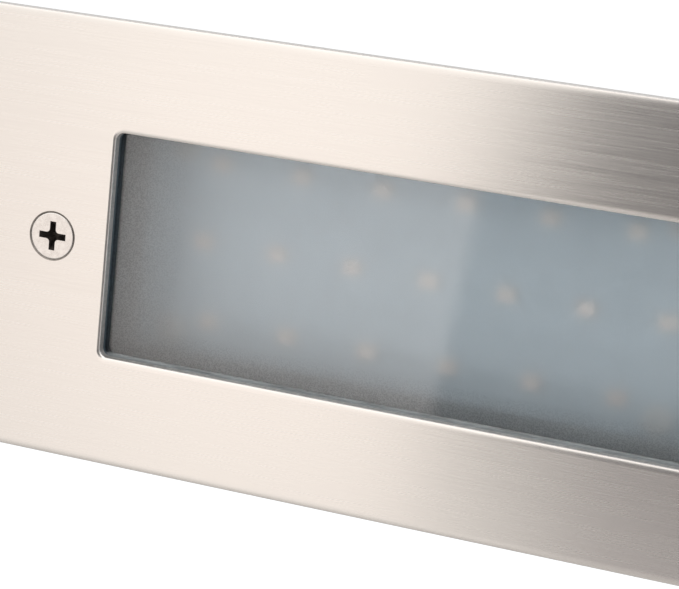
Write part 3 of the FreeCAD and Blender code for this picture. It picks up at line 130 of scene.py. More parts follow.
class StepLightColours(bpy.types.PropertyGroup):
    """Colours of the main finishes."""

    steel: FloatVectorProperty(
        name="Steel", description="Brushed stainless steel", default=(0.66, 0.635, 0.61), subtype="COLOR")
    glass: FloatVectorProperty(
        name="Glass", description="Tint of the etched side of the glass", default=(0.97, 0.985, 1.0),
        subtype="COLOR")
    # Painted shade: the dark border's colour, as dark as the shade at the pane's edge.
    band: FloatVectorProperty(
        name="Edge band", description="Dark band round the back of the glass", default=(0.070, 0.095, 0.115),
        subtype="COLOR")
    # Partly painted light: a chalky film's colour, set as light as the lit lower edge of the glass.
    lime_and_painted_light: FloatVectorProperty(
        name="Lime", description="Deposit along the lower edge of the glass", default=(0.38, 0.40, 0.405),
        subtype="COLOR")
    board: FloatVectorProperty(
        name="Board", description="White solder mask", default=(0.60, 0.70, 0.77), subtype="COLOR")
    phosphor: FloatVectorProperty(
        name="Phosphor", description="Unlit LED phosphor", default=(0.97, 0.84, 0.78), subtype="COLOR")
    casting: FloatVectorProperty(
        name="Casting", description="Die-cast housing", default=(0.33, 0.335, 0.34), subtype="COLOR")
    box: FloatVectorProperty(
        name="Wall box", description="Moulded box plastic", default=(0.045, 0.047, 0.05), subtype="COLOR")


class StepLightStudio(bpy.types.PropertyGroup):
    """Camera and lamps."""

    lens: FloatProperty(name="Lens", description="Focal length in millimetres", default=127.18)
    lamp: FloatProperty(
        name="Soft lamp", description="Brightness of the soft lamp on the left", default=1.5, min=0)
    fill: FloatProperty(name="Fill", description="Brightness of the upper lamp", default=0.8, min=0)
    room: FloatProperty(name="Room", description="Level of the light from all round", default=0.62, min=0)
    mirrored: FloatProperty(
        name="Mirrored level", description="Brightness of what the steel mirrors", default=2.0, min=0)
    diffuser: FloatVectorProperty(
        name="Diffuser", description="The lit diffuser that the steel mirrors", default=(0.735, 0.705, 0.675),
        subtype="COLOR")
    dim_side: FloatVectorProperty(
        name="Dim side", description="The dim side of the studio, low down", default=(0.45, 0.42, 0.415),
        subtype="COLOR")
    dark_side: FloatVectorProperty(
        name="Dark side", description="The dark side of the studio, higher up", default=(0.065, 0.066, 0.07),
        subtype="COLOR")
    ground: FloatVectorProperty(
        name="Ground", description="The bench in front, that the rolled edges mirror",
        default=(0.375, 0.36, 0.345), subtype="COLOR")
    top_light: FloatVectorProperty(
        name="Top light", description="The bright ceiling that the lower edges mirror",
        default=(1.0, 0.975, 0.95), subtype="COLOR")


# ---------------------------------------------------------------- finishes


class Flow:
    """A value on its way through a node tree; arithmetic on it adds Math nodes."""

    def __init__(self, nodes, socket):
        self.nodes = nodes
        self.socket = socket

    def __add__(self, other):
        return self.nodes.reckon("ADD", self, other)

    def __radd__(self, other):
        return self.nodes.reckon("ADD", other, self)

    def __sub__(self, other):
        return self.nodes.reckon("SUBTRACT", self, other)

    def __rsub__(self, other):
        return self.nodes.reckon("SUBTRACT", other, self)

    def __mul__(self, other):
        return self.nodes.reckon("MULTIPLY", self, other)

    def __rmul__(self, other):
        return self.nodes.reckon("MULTIPLY", other, self)

    def __pow__(self, other):
        return self.nodes.reckon("POWER", self, other)

    def clamped(self):
        return self.nodes.reckon("ADD", self, 0.0, clamp=True)

    def step(self, low, high):
        """0 below low, 1 above high, and a smooth rise between them."""
        return self.nodes.add("ShaderNodeMapRange", {"interpolation_type": "SMOOTHSTEP"},
                              {"Value": self, "From Min": low, "From Max": high})


class Nodes:
    """A node tree that is filled by one method."""

    def __init__(self, tree):
        self.tree = tree
        tree.nodes.clear()

    def add(self, kind, settings=None, values=(), output=0):
        """One node: its settings first, then the values or links of its sockets. A list gives a socket
        several links."""
        node = self.tree.nodes.new(kind)
        for key, value in (settings or {}).items():
            setattr(node, key, value)
        pairs = values.items() if isinstance(values, dict) else enumerate(values)
        for key, value in pairs:
            if not isinstance(value, (Flow, list)):
                node.inputs[key].default_value = value
                continue
            for link in value if isinstance(value, list) else [value]:
                self.tree.links.new(link.socket, node.inputs[key])
        return Flow(self, node.outputs[output]) if node.outputs else None

    def reckon(self, operation, *values, clamp=False):
        return self.add("ShaderNodeMath", {"operation": operation, "use_clamp": clamp}, values)

    def looked_at(self):
        """1 for the camera's rays and for the mirrored and the passing ones, and 0 for the others."""
        seen = self.add("ShaderNodeLightPath", output="Is Camera Ray")
        for ray in ("Is Glossy Ray", "Is Transmission Ray"):
            seen = self.reckon("MAXIMUM", seen, self.add("ShaderNodeLightPath", output=ray))
        return seen


class Finish(Nodes):
    """The node tree of one material."""

    def __init__(self, name):
        self.material = bpy.data.materials.new(name)
        self.material.use_nodes = True
        super().__init__(self.material.node_tree)
        self.coordinates = self.add("ShaderNodeTexCoord", output="Object")

    def stretched(self, x, y=None, z=None, turn=(0.0, 0.0, 0.0), centre=(0.0, 0.0, 0.0)):
        """Object coordinates counted from a centre, turned, and scaled along each axis or all alike."""
        scale = (x, x, x) if y is None else (x, y, z)
        moved = self.add("ShaderNodeVectorMath", {"operation": "SUBTRACT"}, (self.coordinates, centre))
        return self.add("ShaderNodeMapping", {"vector_type": "POINT"},
                        {"Vector": moved, "Rotation": turn, "Scale": scale})

    def parts(self, centre=(0.0, 0.0, 0.0)):
        """X, Y and Z as numbers, counted from a centre."""
        node = self.add("ShaderNodeSeparateXYZ", {}, (self.stretched(1.0, centre=centre),)).socket.node
        return [Flow(self, node.outputs[axis]) for axis in "XYZ"]

    def noise(self, where, detail=2.0, rough=0.5):
        return self.add("ShaderNodeTexNoise", {}, {
            "Vector": where, "Scale": 1.0, "Detail": detail, "Roughness": rough})

    def mixed(self, factor, first, second, blend="MIX"):
        """A colour between two colours, or one colour times another where blend says so."""
        colours = [c if isinstance(c, Flow) else (*c, 1.0) for c in (first, second)]
        return self.add("ShaderNodeMix", {"data_type": "RGBA", "blend_type": blend},
                        {0: factor, 6: colours[0], 7: colours[1]}, output=2)

    def toned(self, factor, colour, first, second):
        """One colour at two levels of lightness, and what lies between them."""
        return self.mixed(factor, shade(colour, first), shade(colour, second))

    def relief(self, height, depth, strength=1.0):
        """A normal bent by a height, as deep as depth in metres."""
        return self.add("ShaderNodeBump", {}, {"Height": height, "Distance": depth, "Strength": strength})

    def shader(self, colour, **sockets):
        """One shader; the underscores in a socket's name stand for spaces."""
        values = {"Base Color": colour if isinstance(colour, Flow) else (*colour, 1.0)}
        values.update({key.replace("_", " "): value for key, value in sockets.items()})
        return self.add("ShaderNodeBsdfPrincipled", {}, values)

    def finished(self, shader):
        """The material, with this shader on its surface."""
        self.add("ShaderNodeOutputMaterial", {}, {"Surface": shader})
        return self.material

    def surface(self, colour, **sockets):
        """A material of one shader."""
        return self.finished(self.shader(colour, **sockets))


def shade(colour, factor):
    """A colour made lighter or darker."""
    return tuple(min(1.0, channel * factor) for channel in colour)


def brushed_steel(name, colour, roughness=0.26, strokes=(55.0, 600.0, 4600.0), spread=0.15):
    """Steel with fine strokes along X."""
    f = Finish(name)
    fine = f.noise(f.stretched(*strokes), detail=3.0, rough=0.65)
    long = f.noise(f.stretched(strokes[0] / 6, strokes[1] / 4, strokes[2] / 3), detail=2.0)
    grain = fine * 0.75 + long * 0.25
    tone = f.toned(grain.step(0.30, 0.70), colour, 0.97, 1.02)
    return f.surface(tone, Metallic=1.0, Roughness=roughness - spread / 2 + grain * spread,
                     Anisotropic=0.84, Anisotropic_Rotation=0.25,
                     Normal=f.relief(fine, 0.006 * MM, 0.5))


def turned_steel(name, colour, centre):
    """A turned face: rings round a screw's axis, with small nicks."""
    f = Finish(name)
    x, _y, z = f.parts(centre)
    radius = (x * x + z * z) ** 0.5
    rings = f.reckon("SINE", radius * 52000.0) * 0.5 + 0.5
    wear = f.noise(f.stretched(900.0), detail=4.0, rough=0.7)
    tone = f.toned(wear.step(0.35, 0.72), colour, 0.86, 1.04)
    return f.surface(tone, Metallic=1.0, Roughness=0.2 + wear * 0.16,
                     Normal=f.relief(rings * 0.4 + wear * 0.6, 0.008 * MM, 0.6))


def plated_steel(name, colour, roughness=0.34):
    """Bright zinc with a little mottle."""
    f = Finish(name)
    mottle = f.noise(f.stretched(700.0), detail=4.0, rough=0.6)
    fine = f.noise(f.stretched(4200.0), detail=2.0)
    tone = f.toned(mottle.step(0.35, 0.65), colour, 0.84, 1.05)
    return f.surface(tone, Metallic=1.0, Roughness=roughness - 0.06 + mottle * 0.14,
                     Normal=f.relief(fine, 0.01 * MM, 0.4))


def cast_metal(name, colour):
    """Die-cast aluminium with a skin of fine powder coat."""
    f = Finish(name)
    skin = f.noise(f.stretched(2400.0), detail=3.0, rough=0.6)
    flow = f.noise(f.stretched(60.0), detail=3.0)
    tone = f.toned(flow.step(0.3, 0.7), colour, 0.88, 1.08)
    return f.surface(tone, Metallic=0.35, Roughness=0.48 + skin * 0.14,
                     Normal=f.relief(skin, 0.05 * MM, 0.7))


def moulded_plastic(name, colour, roughness=0.5, grain=1900.0, depth=0.03):
    """Moulded plastic with a spark-eroded grain and faint flow marks."""
    f = Finish(name)
    erosion = f.noise(f.stretched(grain), detail=2.0, rough=0.6)
    flow = f.noise(f.stretched(35.0, 70.0, 35.0), detail=3.0)
    tone = f.toned(flow.step(0.3, 0.7), colour, 0.90, 1.10)
    return f.surface(tone, Roughness=roughness - 0.07 + erosion * 0.14,
                     Normal=f.relief(erosion, depth * MM, 0.6))


def rubber(name, colour):
    """Moulded rubber with a dusty bloom."""
    f = Finish(name)
    bloom = f.noise(f.stretched(260.0), detail=4.0, rough=0.6)
    pores = f.noise(f.stretched(3200.0), detail=1.0)
    tone = f.toned(bloom.step(0.4, 0.75), colour, 0.9, 1.35)
    return f.surface(tone, Roughness=0.62 + bloom * 0.12, Sheen_Weight=0.08,
                     Normal=f.relief(pores, 0.02 * MM, 0.5))


def foam(name, colour):
    """Closed-cell foam: small round cells, cut open at the edges."""
    f = Finish(name)
    cells = f.add("ShaderNodeTexVoronoi", {"feature": "F1"}, {"Vector": f.stretched(1.0), "Scale": 2200.0})
    tone = f.toned(cells.step(0.1, 0.6), colour, 0.65, 1.25)
    return f.surface(tone, Roughness=0.86, Normal=f.relief(cells, 0.12 * MM, 0.8))


def coated_board(name, colour):
    """A circuit board: solder mask over tracks that stand a little proud."""
    f = Finish(name)
    track_length, track_width, track_gap = 15.4 * MM, 7.32 * MM, 0.35 * MM
    tracks = f.add("ShaderNodeTexBrick", {"offset": 0.5, "squash": 1.0}, {
        "Vector": f.stretched(1.0, turn=(math.radians(90), 0.0, 0.0)), "Scale": 1.0,
        "Mortar Size": track_gap, "Mortar Smooth": 0.2, "Brick Width": track_length,
        "Row Height": track_width},
        output="Fac")
    weave = f.noise(f.stretched(1500.0), detail=2.0)
    tone = f.toned(tracks, colour, 1.0, 0.86)
    mottled = f.mixed(weave.step(0.2, 0.9) * 0.12, tone, shade(colour, 0.7))
    return f.surface(mottled, Roughness=0.36 + weave * 0.12, Coat_Weight=0.25,
                     Normal=f.relief(1.0 - tracks, 0.035 * MM, 0.6))


def wire_skin(name, colour, stripe=None):
    """Wire insulation: smooth PVC with faint drawing lines, and a stripe on an earth wire."""
    f = Finish(name)
    haze = f.noise(f.stretched(500.0), detail=3.0)
    tone = f.toned(haze.step(0.3, 0.7), colour, 0.88, 1.08)
    if stripe:
        wire_height = -9 * MM
        _x, _y, z = f.parts((0.0, 0.0, wire_height))
        tone = f.mixed(z.step(-0.1 * MM, 0.1 * MM), tone, stripe)
    return f.surface(tone, Roughness=0.34 + haze * 0.12, Normal=f.relief(haze, 0.02 * MM, 0.4))


def wound_tape(name, colour):
    """Tape wound round a core, with an edge at each turn."""
    f = Finish(name)
    _x, y, _z = f.parts()
    lap = f.reckon("FRACT", y * 700.0)
    wrinkle = f.noise(f.stretched(300.0, 900.0, 300.0), detail=3.0)
    tone = f.toned(lap.step(0.8, 1.0), colour, 1.0, 0.72)
    return f.surface(tone, Roughness=0.32 + wrinkle * 0.2, Coat_Weight=0.3,
                     Normal=f.relief(lap * 0.6 + wrinkle * 0.4, 0.05 * MM, 0.6))


def sleeve(name, colour):
    """Shrink sleeve with a faint sheen."""
    f = Finish(name)
    ripple = f.noise(f.stretched(400.0, 120.0, 400.0), detail=3.0)
    tone = f.toned(ripple.step(0.3, 0.7), colour, 0.85, 1.15)
    return f.surface(tone, Roughness=0.28 + ripple * 0.14, Coat_Weight=0.2,
                     Normal=f.relief(ripple, 0.03 * MM, 0.5))


def sintered(name, colour):
    """Ground ferrite: dark and slightly sparkling."""
    f = Finish(name)
    grit = f.noise(f.stretched(5200.0), detail=2.0, rough=0.7)
    chips = f.noise(f.stretched(420.0), detail=4.0, rough=0.7)
    tone = f.toned(grit.step(0.35, 0.75), colour, 0.8, 1.7)
    return f.surface(tone, Roughness=0.55 + chips * 0.2, Normal=f.relief(grit + chips, 0.02 * MM, 0.5))


def phosphor_gel(name, colour):
    """Silicone filled with phosphor: cloudy yellow with a wet skin."""
    f = Finish(name)
    cloud = f.noise(f.stretched(1600.0), detail=3.0)
    tone = f.toned(cloud.step(0.3, 0.7), colour, 0.9, 1.1)
    return f.surface(tone, Roughness=0.3 + cloud * 0.1, Coat_Weight=0.6,
                     Normal=f.relief(cloud, 0.01 * MM, 0.4))


def clear_glass(name, half_z, lime_and_painted_light):
    """The polished front of the pane, with a chalky film along the window's lower edge, made light as painted
    light.
    """
    f = Finish(name)
    _x, _y, z = f.parts()
    wipe = f.noise(f.stretched(40.0, 40.0, 90.0), detail=3.0)
    tone = f.mixed(wipe.step(0.3, 0.7), (0.955, 0.975, 0.975), (0.97, 0.985, 0.985))
    glass = f.shader(tone, Roughness=0.0, IOR=1.6, Specular_IOR_Level=1.0, Transmission_Weight=1.0)
    crust = f.noise(f.stretched(180.0, 1800.0, 1800.0), detail=4.0, rough=0.65)
    chalk_and_painted_light = f.toned(crust.step(0.3, 0.7), lime_and_painted_light, 0.8, 1.15)
    # Partly painted light: a chalky film on the front along the window's lower edge, as light as the lit
    # lower edge.
    edge = (0.0 - z).step(half_z - 0.95 * MM, half_z - 0.65 * MM) * (0.45 + crust * 0.5)
    deposit_and_painted_light = f.shader(chalk_and_painted_light, Roughness=0.6)
    return f.finished(f.add("ShaderNodeMixShader", {}, (edge.clamped(), glass, deposit_and_painted_light)))


def etched_glass(name, colour, half_x, half_z):
    """The satin back of the pane: etched grain, and a speckled haze at its left end and along the bottom,
    darker there as painted shade.
    """
    f = Finish(name)
    x, _y, z = f.parts()
    grain = f.noise(f.stretched(3000.0), detail=3.0, rough=0.75)
    cloud = f.noise(f.stretched(300.0), detail=3.0)
    specks = f.noise(f.stretched(3600.0), detail=2.0, rough=0.8)
    tone = f.toned((grain * 0.8 + cloud * 0.2).step(0.34, 0.62), colour, 0.97, 1.03)
    satin = f.shader(tone, Roughness=0.335, IOR=1.5, Transmission_Weight=1.0,
                     Normal=f.relief(grain, 0.03 * MM, 0.5))
    end_reach, foot_reach = 15 * MM, 7 * MM
    end = 1.0 - x.step(-half_x, end_reach - half_x)
    foot = (0.0 - z).step(half_z - foot_reach, half_z)
    haze = f.reckon("MAXIMUM", end, foot)
    # Partly painted shade: the haze's specks are darker than the frost, as dark as the shaded ends of the
    # glass.
    shaded_specks = f.mixed(specks.step(0.42, 0.58), (0.24, 0.25, 0.25), (0.76, 0.77, 0.77))
    frost = f.shader(f.mixed(haze.step(0.0, 0.15), (0.72, 0.74, 0.75), shaded_specks), Roughness=0.8)
    cover = (grain.step(0.35, 0.75) * 0.16 + 0.03 + haze * 0.32).clamped()
    return f.finished(f.add("ShaderNodeMixShader", {}, (cover, satin, frost)))


def painted_shade_and_light_band(name, colours, bottom):
    """The dark border round the back of the pane, painted shade where the pane's edge lies in shade, turning
    along its lower side to a chalky film made light as painted light.
    """
    f = Finish(name)
    _x, _y, z = f.parts()
    settled = f.noise(f.stretched(260.0, 260.0, 900.0), detail=4.0, rough=0.65)
    print_grain = f.noise(f.stretched(2600.0), detail=2.0)
    # Painted shade: the dark colour of the border everywhere but its lower side.
    dark = f.toned(print_grain.step(0.3, 0.7), colours.band, 0.85, 1.2)
    # Partly painted light: the lower side turns to the chalky colour, lighter where light falls on it.
    lime_and_painted_light = f.toned(settled.step(0.35, 0.7), colours.lime_and_painted_light, 0.75, 1.1)
    tone = f.mixed((0.0 - z).step(bottom - 0.25 * MM, bottom + 0.1 * MM), dark, lime_and_painted_light)
    return f.surface(tone, Roughness=0.42 + settled * 0.2, Normal=f.relief(settled, 0.02 * MM, 0.5))


def shaded_screw_recess(name):
    """The driver's recess: near black as painted shade, with a mottle."""
    f = Finish(name)
    recess_mottle = f.noise(f.stretched(1400.0), detail=4.0, rough=0.7)
    tone = f.mixed(recess_mottle.step(0.3, 0.7), (0.014, 0.010, 0.008), (0.060, 0.046, 0.038))
    return f.surface(tone, Metallic=0.4, Roughness=0.55 + recess_mottle * 0.2, Normal=f.relief(recess_mottle, 0.03 * MM, 0.6))


def cut_edge(name):
    """The plate's cut sides: matt, with fine drag lines across them."""
    f = Finish(name)
    drag = f.noise(f.stretched(2400.0, 260.0, 2400.0), detail=3.0, rough=0.6)
    tone = f.mixed(drag.step(0.3, 0.7), (0.52, 0.495, 0.475), (0.64, 0.615, 0.59))
    return f.surface(tone, Metallic=0.75, Roughness=0.36 + drag * 0.14, Normal=f.relief(drag, 0.02 * MM, 0.5))


def screw_seat(name):
    """The countersink's cut face, darkened as painted shade of the narrow gap round the screw's head, with a
    mottle.
    """
    f = Finish(name)
    seat_mottle = f.noise(f.stretched(800.0), detail=4.0, rough=0.65)
    tone = f.mixed(seat_mottle.step(0.3, 0.7), (0.16, 0.14, 0.125), (0.32, 0.29, 0.265))
    return f.surface(tone, Metallic=0.8, Roughness=0.45 + seat_mottle * 0.2, Normal=f.relief(seat_mottle, 0.02 * MM, 0.5))


def painted_screw(name):
    """Screw heads under a coat of white paint."""
    f = Finish(name)
    coat = f.noise(f.stretched(1300.0), detail=3.0)
    tone = f.mixed(coat.step(0.3, 0.7), (0.70, 0.72, 0.72), (0.78, 0.80, 0.80))
    return f.surface(tone, Roughness=0.5 + coat * 0.12, Normal=f.relief(coat, 0.03 * MM, 0.5))


def slot_finish(slot, colours):
    """The finish of one material slot of the record."""
    makers = {
        "box_plastic": lambda n: moulded_plastic(n, colours.box, 0.52, 1500.0, 0.05),
        "plug_rubber": lambda n: rubber(n, (0.03, 0.03, 0.032)),
        "brass": lambda n: plated_steel(n, (0.78, 0.58, 0.27), 0.3),
        "brushed_steel": lambda n: brushed_steel(n, colours.steel),
        "screw_steel": lambda n: plated_steel(n, (0.62, 0.60, 0.58), 0.28),
        "zinc_steel": lambda n: plated_steel(n, (0.66, 0.67, 0.69)),
        "gasket_foam": lambda n: foam(n, (0.035, 0.036, 0.038)),
        "seal_rubber": lambda n: rubber(n, (0.022, 0.022, 0.023)),
        "cast_housing": lambda n: cast_metal(n, colours.casting),
        "tray_aluminium": lambda n: brushed_steel(n, (0.70, 0.71, 0.73), 0.36, (14.0, 300.0, 1400.0)),
        "board_white": lambda n: coated_board(n, colours.board),
        "led_body": lambda n: moulded_plastic(n, (0.97, 0.89, 0.85), 0.4, 5200.0, 0.01),
        "phosphor": lambda n: phosphor_gel(n, colours.phosphor),
        "white_plastic": lambda n: moulded_plastic(n, (0.72, 0.72, 0.70), 0.42, 2600.0, 0.02),
        "board_green": lambda n: coated_board(n, (0.03, 0.17, 0.07)),
        "black_plastic": lambda n: moulded_plastic(n, (0.025, 0.025, 0.027), 0.38, 2600.0, 0.02),
        "ferrite": lambda n: sintered(n, (0.06, 0.06, 0.065)),
        "winding_tape": lambda n: wound_tape(n, (0.75, 0.55, 0.08)),
        "capacitor_sleeve": lambda n: sleeve(n, (0.03, 0.035, 0.06)),
        "film_yellow": lambda n: moulded_plastic(n, (0.70, 0.42, 0.05), 0.34, 2200.0, 0.02),
        "wire_brown": lambda n: wire_skin(n, (0.16, 0.06, 0.025)),
        "wire_blue": lambda n: wire_skin(n, (0.02, 0.09, 0.42)),
        "wire_green_yellow": lambda n: wire_skin(n, (0.06, 0.34, 0.05), (0.80, 0.68, 0.05)),
        "wire_red": lambda n: wire_skin(n, (0.50, 0.02, 0.02)),
        "wire_black": lambda n: wire_skin(n, (0.02, 0.02, 0.022)),
        "gland_nylon": lambda n: moulded_plastic(n, (0.055, 0.057, 0.06), 0.45, 1700.0, 0.04),
    }
    if slot not in makers:
        raise RuntimeError(f"no finish is written for the slot {slot!r}")
    return makers[slot](slot)


# ---------------------------------------------------------------- making meshes


def rounded(half_x, half_z, corner, y, steps=8):
    """Points of an upright rounded rectangle."""
    points = []
    for cx, cz, first in ((1, 1, 0), (-1, 1, 90), (-1, -1, 180), (1, -1, 270)):
        for step in range(steps + 1):
            a = math.radians(first + 90 * step / steps)
            points.append((cx * (half_x - corner) + corner * math.cos(a), y,
                           cz * (half_z - corner) + corner * math.sin(a)))
    return points


def circle(radius, y, axis_x=0.0, steps=72):
    """Points of a circle about an axis along Y."""
    turn = [math.tau * i / steps for i in range(steps)]
    return [(axis_x + radius * math.cos(a), y, radius * math.sin(a)) for a in turn]


def rolled(reach, drop, steps=9):
    """(inset, depth) pairs of a rolled edge, from the face to the wall."""
    bend = [math.radians(90 * i / steps) for i in range(steps + 1)]
    return [(reach * (1 - math.sin(a)), drop * (1 - math.cos(a))) for a in bend]


def add_rings(mesh, rings):
    """Walls through rings of (x, y, z) points; gives back the rings of vertices."""
    made = [[mesh.verts.new(point) for point in ring] for ring in rings]
    for near, far in zip(made, made[1:]):
        for i in range(len(near)):
            j = (i + 1) % len(near)
            mesh.faces.new((near[i], near[j], far[j], far[i])).smooth = True
    return made


def add_bar(mesh, rings):
    """Walls through rings, and a flat face on the first and the last."""
    made = add_rings(mesh, rings)
    for ring in (made[0], made[-1]):
        mesh.faces.new(ring).smooth = False


def add_flat(mesh, rings):
    """A flat face inside the first ring and outside the others."""
    edges = [mesh.edges.get((ring[i - 1], ring[i])) for ring in rings for i in range(len(ring))]
    made = bmesh.ops.triangle_fill(mesh, use_beauty=True, edges=edges)["geom"]
    for item in made:
        if isinstance(item, bmesh.types.BMFace):
            item.smooth = False


def finished_mesh(name, mesh, materials, sharp=None):
    """A closed bmesh as a mesh with its faces outward."""
    bmesh.ops.recalc_face_normals(mesh, faces=mesh.faces)
    data = bpy.data.meshes.new(name)
    mesh.to_mesh(data)
    rounded = [face.smooth for face in mesh.faces]
    mesh.free()
    for material in materials:
        data.materials.append(material)
    if sharp is not None:
        data.set_sharp_from_angle(angle=math.radians(sharp))
        data.polygons.foreach_set("use_smooth", rounded)
    return data


def placed(name, data):
    """A new object, linked to the scene."""
    item = bpy.data.objects.new(name, data)
    bpy.context.scene.collection.objects.link(item)
    return item


def add_piece(name, data, body, slot, *nodes):
    """Puts a finished mesh in the scene on its body."""
    piece = placed(name, data)
    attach(piece, body)
    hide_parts(*nodes)


def threaded_shank(mesh, axis_x, crest, y0, y1, pitch, steps=28, rows=6):
    """A thread cut on a shank: a helix of ridges that runs out at both ends, with a tapered tip."""
    depth = 0.6 * pitch
    tip_taper = 0.35 * crest
    count = int((y1 - y0) / pitch * rows)
    rings = []
    for row in range(count + 1):
        y = y0 + (y1 - y0) * row / count
        runout = min(1.0, (y - y0) / pitch, (y1 - y) / pitch)
        ring = []
        for i in range(steps):
            phase = ((y - y0) / pitch - i / steps) % 1.0
            ridge = 1 - abs(2 * phase - 1)
            radius = crest - depth * (1 - min(1.0, 1.25 * ridge)) * runout
            radius -= tip_taper * max(0.0, 1 - (y1 - y) / pitch)
            a = math.tau * i / steps
            ring.append((axis_x + radius * math.cos(a), y, radius * math.sin(a)))
        rings.append(ring)
    add_bar(mesh, rings)


def cross_loop(length, width, fillet, steps=5):
    """Points of a cross with rounded inner corners, as (x, z), anticlockwise."""
    bend = [math.radians(90 * step / steps) for step in range(steps + 1)]
    corner = [(length, width)]
    corner += [(width + fillet * (1 - math.sin(a)), width + fillet * (1 - math.cos(a))) for a in bend]
    corner.append((width, length))
    points = []
    for quarter_turn in range(4):
        a = math.radians(90 * quarter_turn)
        points += [(px * math.cos(a) - pz * math.sin(a), px * math.sin(a) + pz * math.cos(a))
                   for px, pz in corner]
    return points


def cross_cutter(axis_x, face_y, half_length, half_width, depth):
    """A tapered cross that sinks a driver's recess into a screw's head."""
    mesh = bmesh.new()
    fillet = 1.05
    rings = []
    for y, length, width in ((face_y - 0.3 * MM, half_length * 1.06, half_width * 1.08),
                             (face_y + depth * 0.22, half_length * 0.90, half_width),
                             (face_y + depth * 0.70, half_length * 0.66, half_width * 0.86),
                             (face_y + depth, half_length * 0.34, half_width * 0.45)):
        rings.append([(axis_x + px, y, pz) for px, pz in cross_loop(length, width, fillet * width)])
    add_bar(mesh, rings)
    return finished_mesh("cross_cutter", mesh, [])


def cut_out(target, cutter_data):
    """Takes a cutter out of a mesh object and leaves a plain mesh."""
    cutter = placed("cutter", cutter_data)
    modifier = target.modifiers.new("Recess", "BOOLEAN")
    modifier.operation = "DIFFERENCE"
    modifier.solver = "EXACT"
    modifier.use_self = True
    modifier.object = cutter
    graph = bpy.context.evaluated_depsgraph_get()
    data = bpy.data.meshes.new_from_object(target.evaluated_get(graph))
    target.modifiers.remove(modifier)
    target.data = data
    bpy.data.objects.remove(cutter)


# ---------------------------------------------------------------- laying out copies


class Layout(Nodes):
    """A Geometry Nodes tree with named inputs that ends in real geometry with its finish."""

    def __init__(self, name):
        super().__init__(bpy.data.node_groups.new(name, "GeometryNodeTree"))
        for way in ("INPUT", "OUTPUT"):
            self.tree.interface.new_socket("Geometry", in_out=way, socket_type="NodeSocketGeometry")
        self.vertices = self.add("NodeGroupInput")

    def size(self, name, kind="NodeSocketFloat"):
        """A named input."""
        self.tree.interface.new_socket(name, in_out="INPUT", socket_type=kind)
        return Flow(self, self.vertices.socket.node.outputs[name])

    def place(self, points):
        """Sets a copy of the named piece on every point, and closes the tree."""
        piece = self.size("Piece", "NodeSocketObject")
        finish = self.size("Finish", "NodeSocketMaterial")
        shape = self.add("GeometryNodeObjectInfo", {"transform_space": "ORIGINAL"}, {"Object": piece},
                         output="Geometry")
        copies = self.add("GeometryNodeInstanceOnPoints", {}, {"Points": points, "Instance": shape})
        real = self.add("GeometryNodeRealizeInstances", {}, {"Geometry": copies})
        dressed = self.add("GeometryNodeSetMaterial", {}, {"Geometry": real, "Material": finish})
        self.add("NodeGroupOutput", {}, (dressed,))
        return self.tree


def led_rows():
    """Three rows of like pieces: one in the middle and one at each side of it."""
    layout = Layout("led_rows")
    level = layout.size("Level")
    spacing = layout.size("Row Spacing")
    middle, outer = [(layout.size(row + " Count", "NodeSocketInt"), layout.size(row + " Pitch"))
                     for row in ("Middle", "Outer")]
    rows = []
    for (count, pitch), side in ((middle, 0.0), (outer, 1.0), (outer, -1.0)):
        start = layout.add("ShaderNodeCombineXYZ", {}, {
            "X": (count - 1.0) * pitch * -0.5, "Y": level, "Z": spacing * side})
        offset = layout.add("ShaderNodeCombineXYZ", {}, {"X": pitch})
        rows.append(layout.add("GeometryNodeMeshLine", {"mode": "OFFSET"}, {
            "Count": count, "Start Location": start, "Offset": offset}))
    return layout.place(layout.add("GeometryNodeJoinGeometry", {}, (rows,)))


def on_points():
    """A copy of a piece on each vertex of the mesh that the tree is put on."""
    layout = Layout("on_points")
    return layout.place(layout.vertices)


def grown(name, tree, values, points=()):
    """The plain mesh that a tree makes from its named inputs."""
    base = bpy.data.meshes.new(name)
    base.from_pydata(points, [], [])
    host = placed(name + "_host", base)
    modifier = host.modifiers.new("Layout", "NODES")
    modifier.node_group = tree
    for item in tree.interface.items_tree:
        if item.item_type == "SOCKET" and item.in_out == "INPUT" and item.name in values:
            modifier[item.identifier] = values[item.name]
    graph = bpy.context.evaluated_depsgraph_get()
    data = bpy.data.meshes.new_from_object(host.evaluated_get(graph))
    host.modifiers.remove(modifier)
    bpy.data.objects.remove(host)
    data.name = name
    return data


# ---------------------------------------------------------------- operators


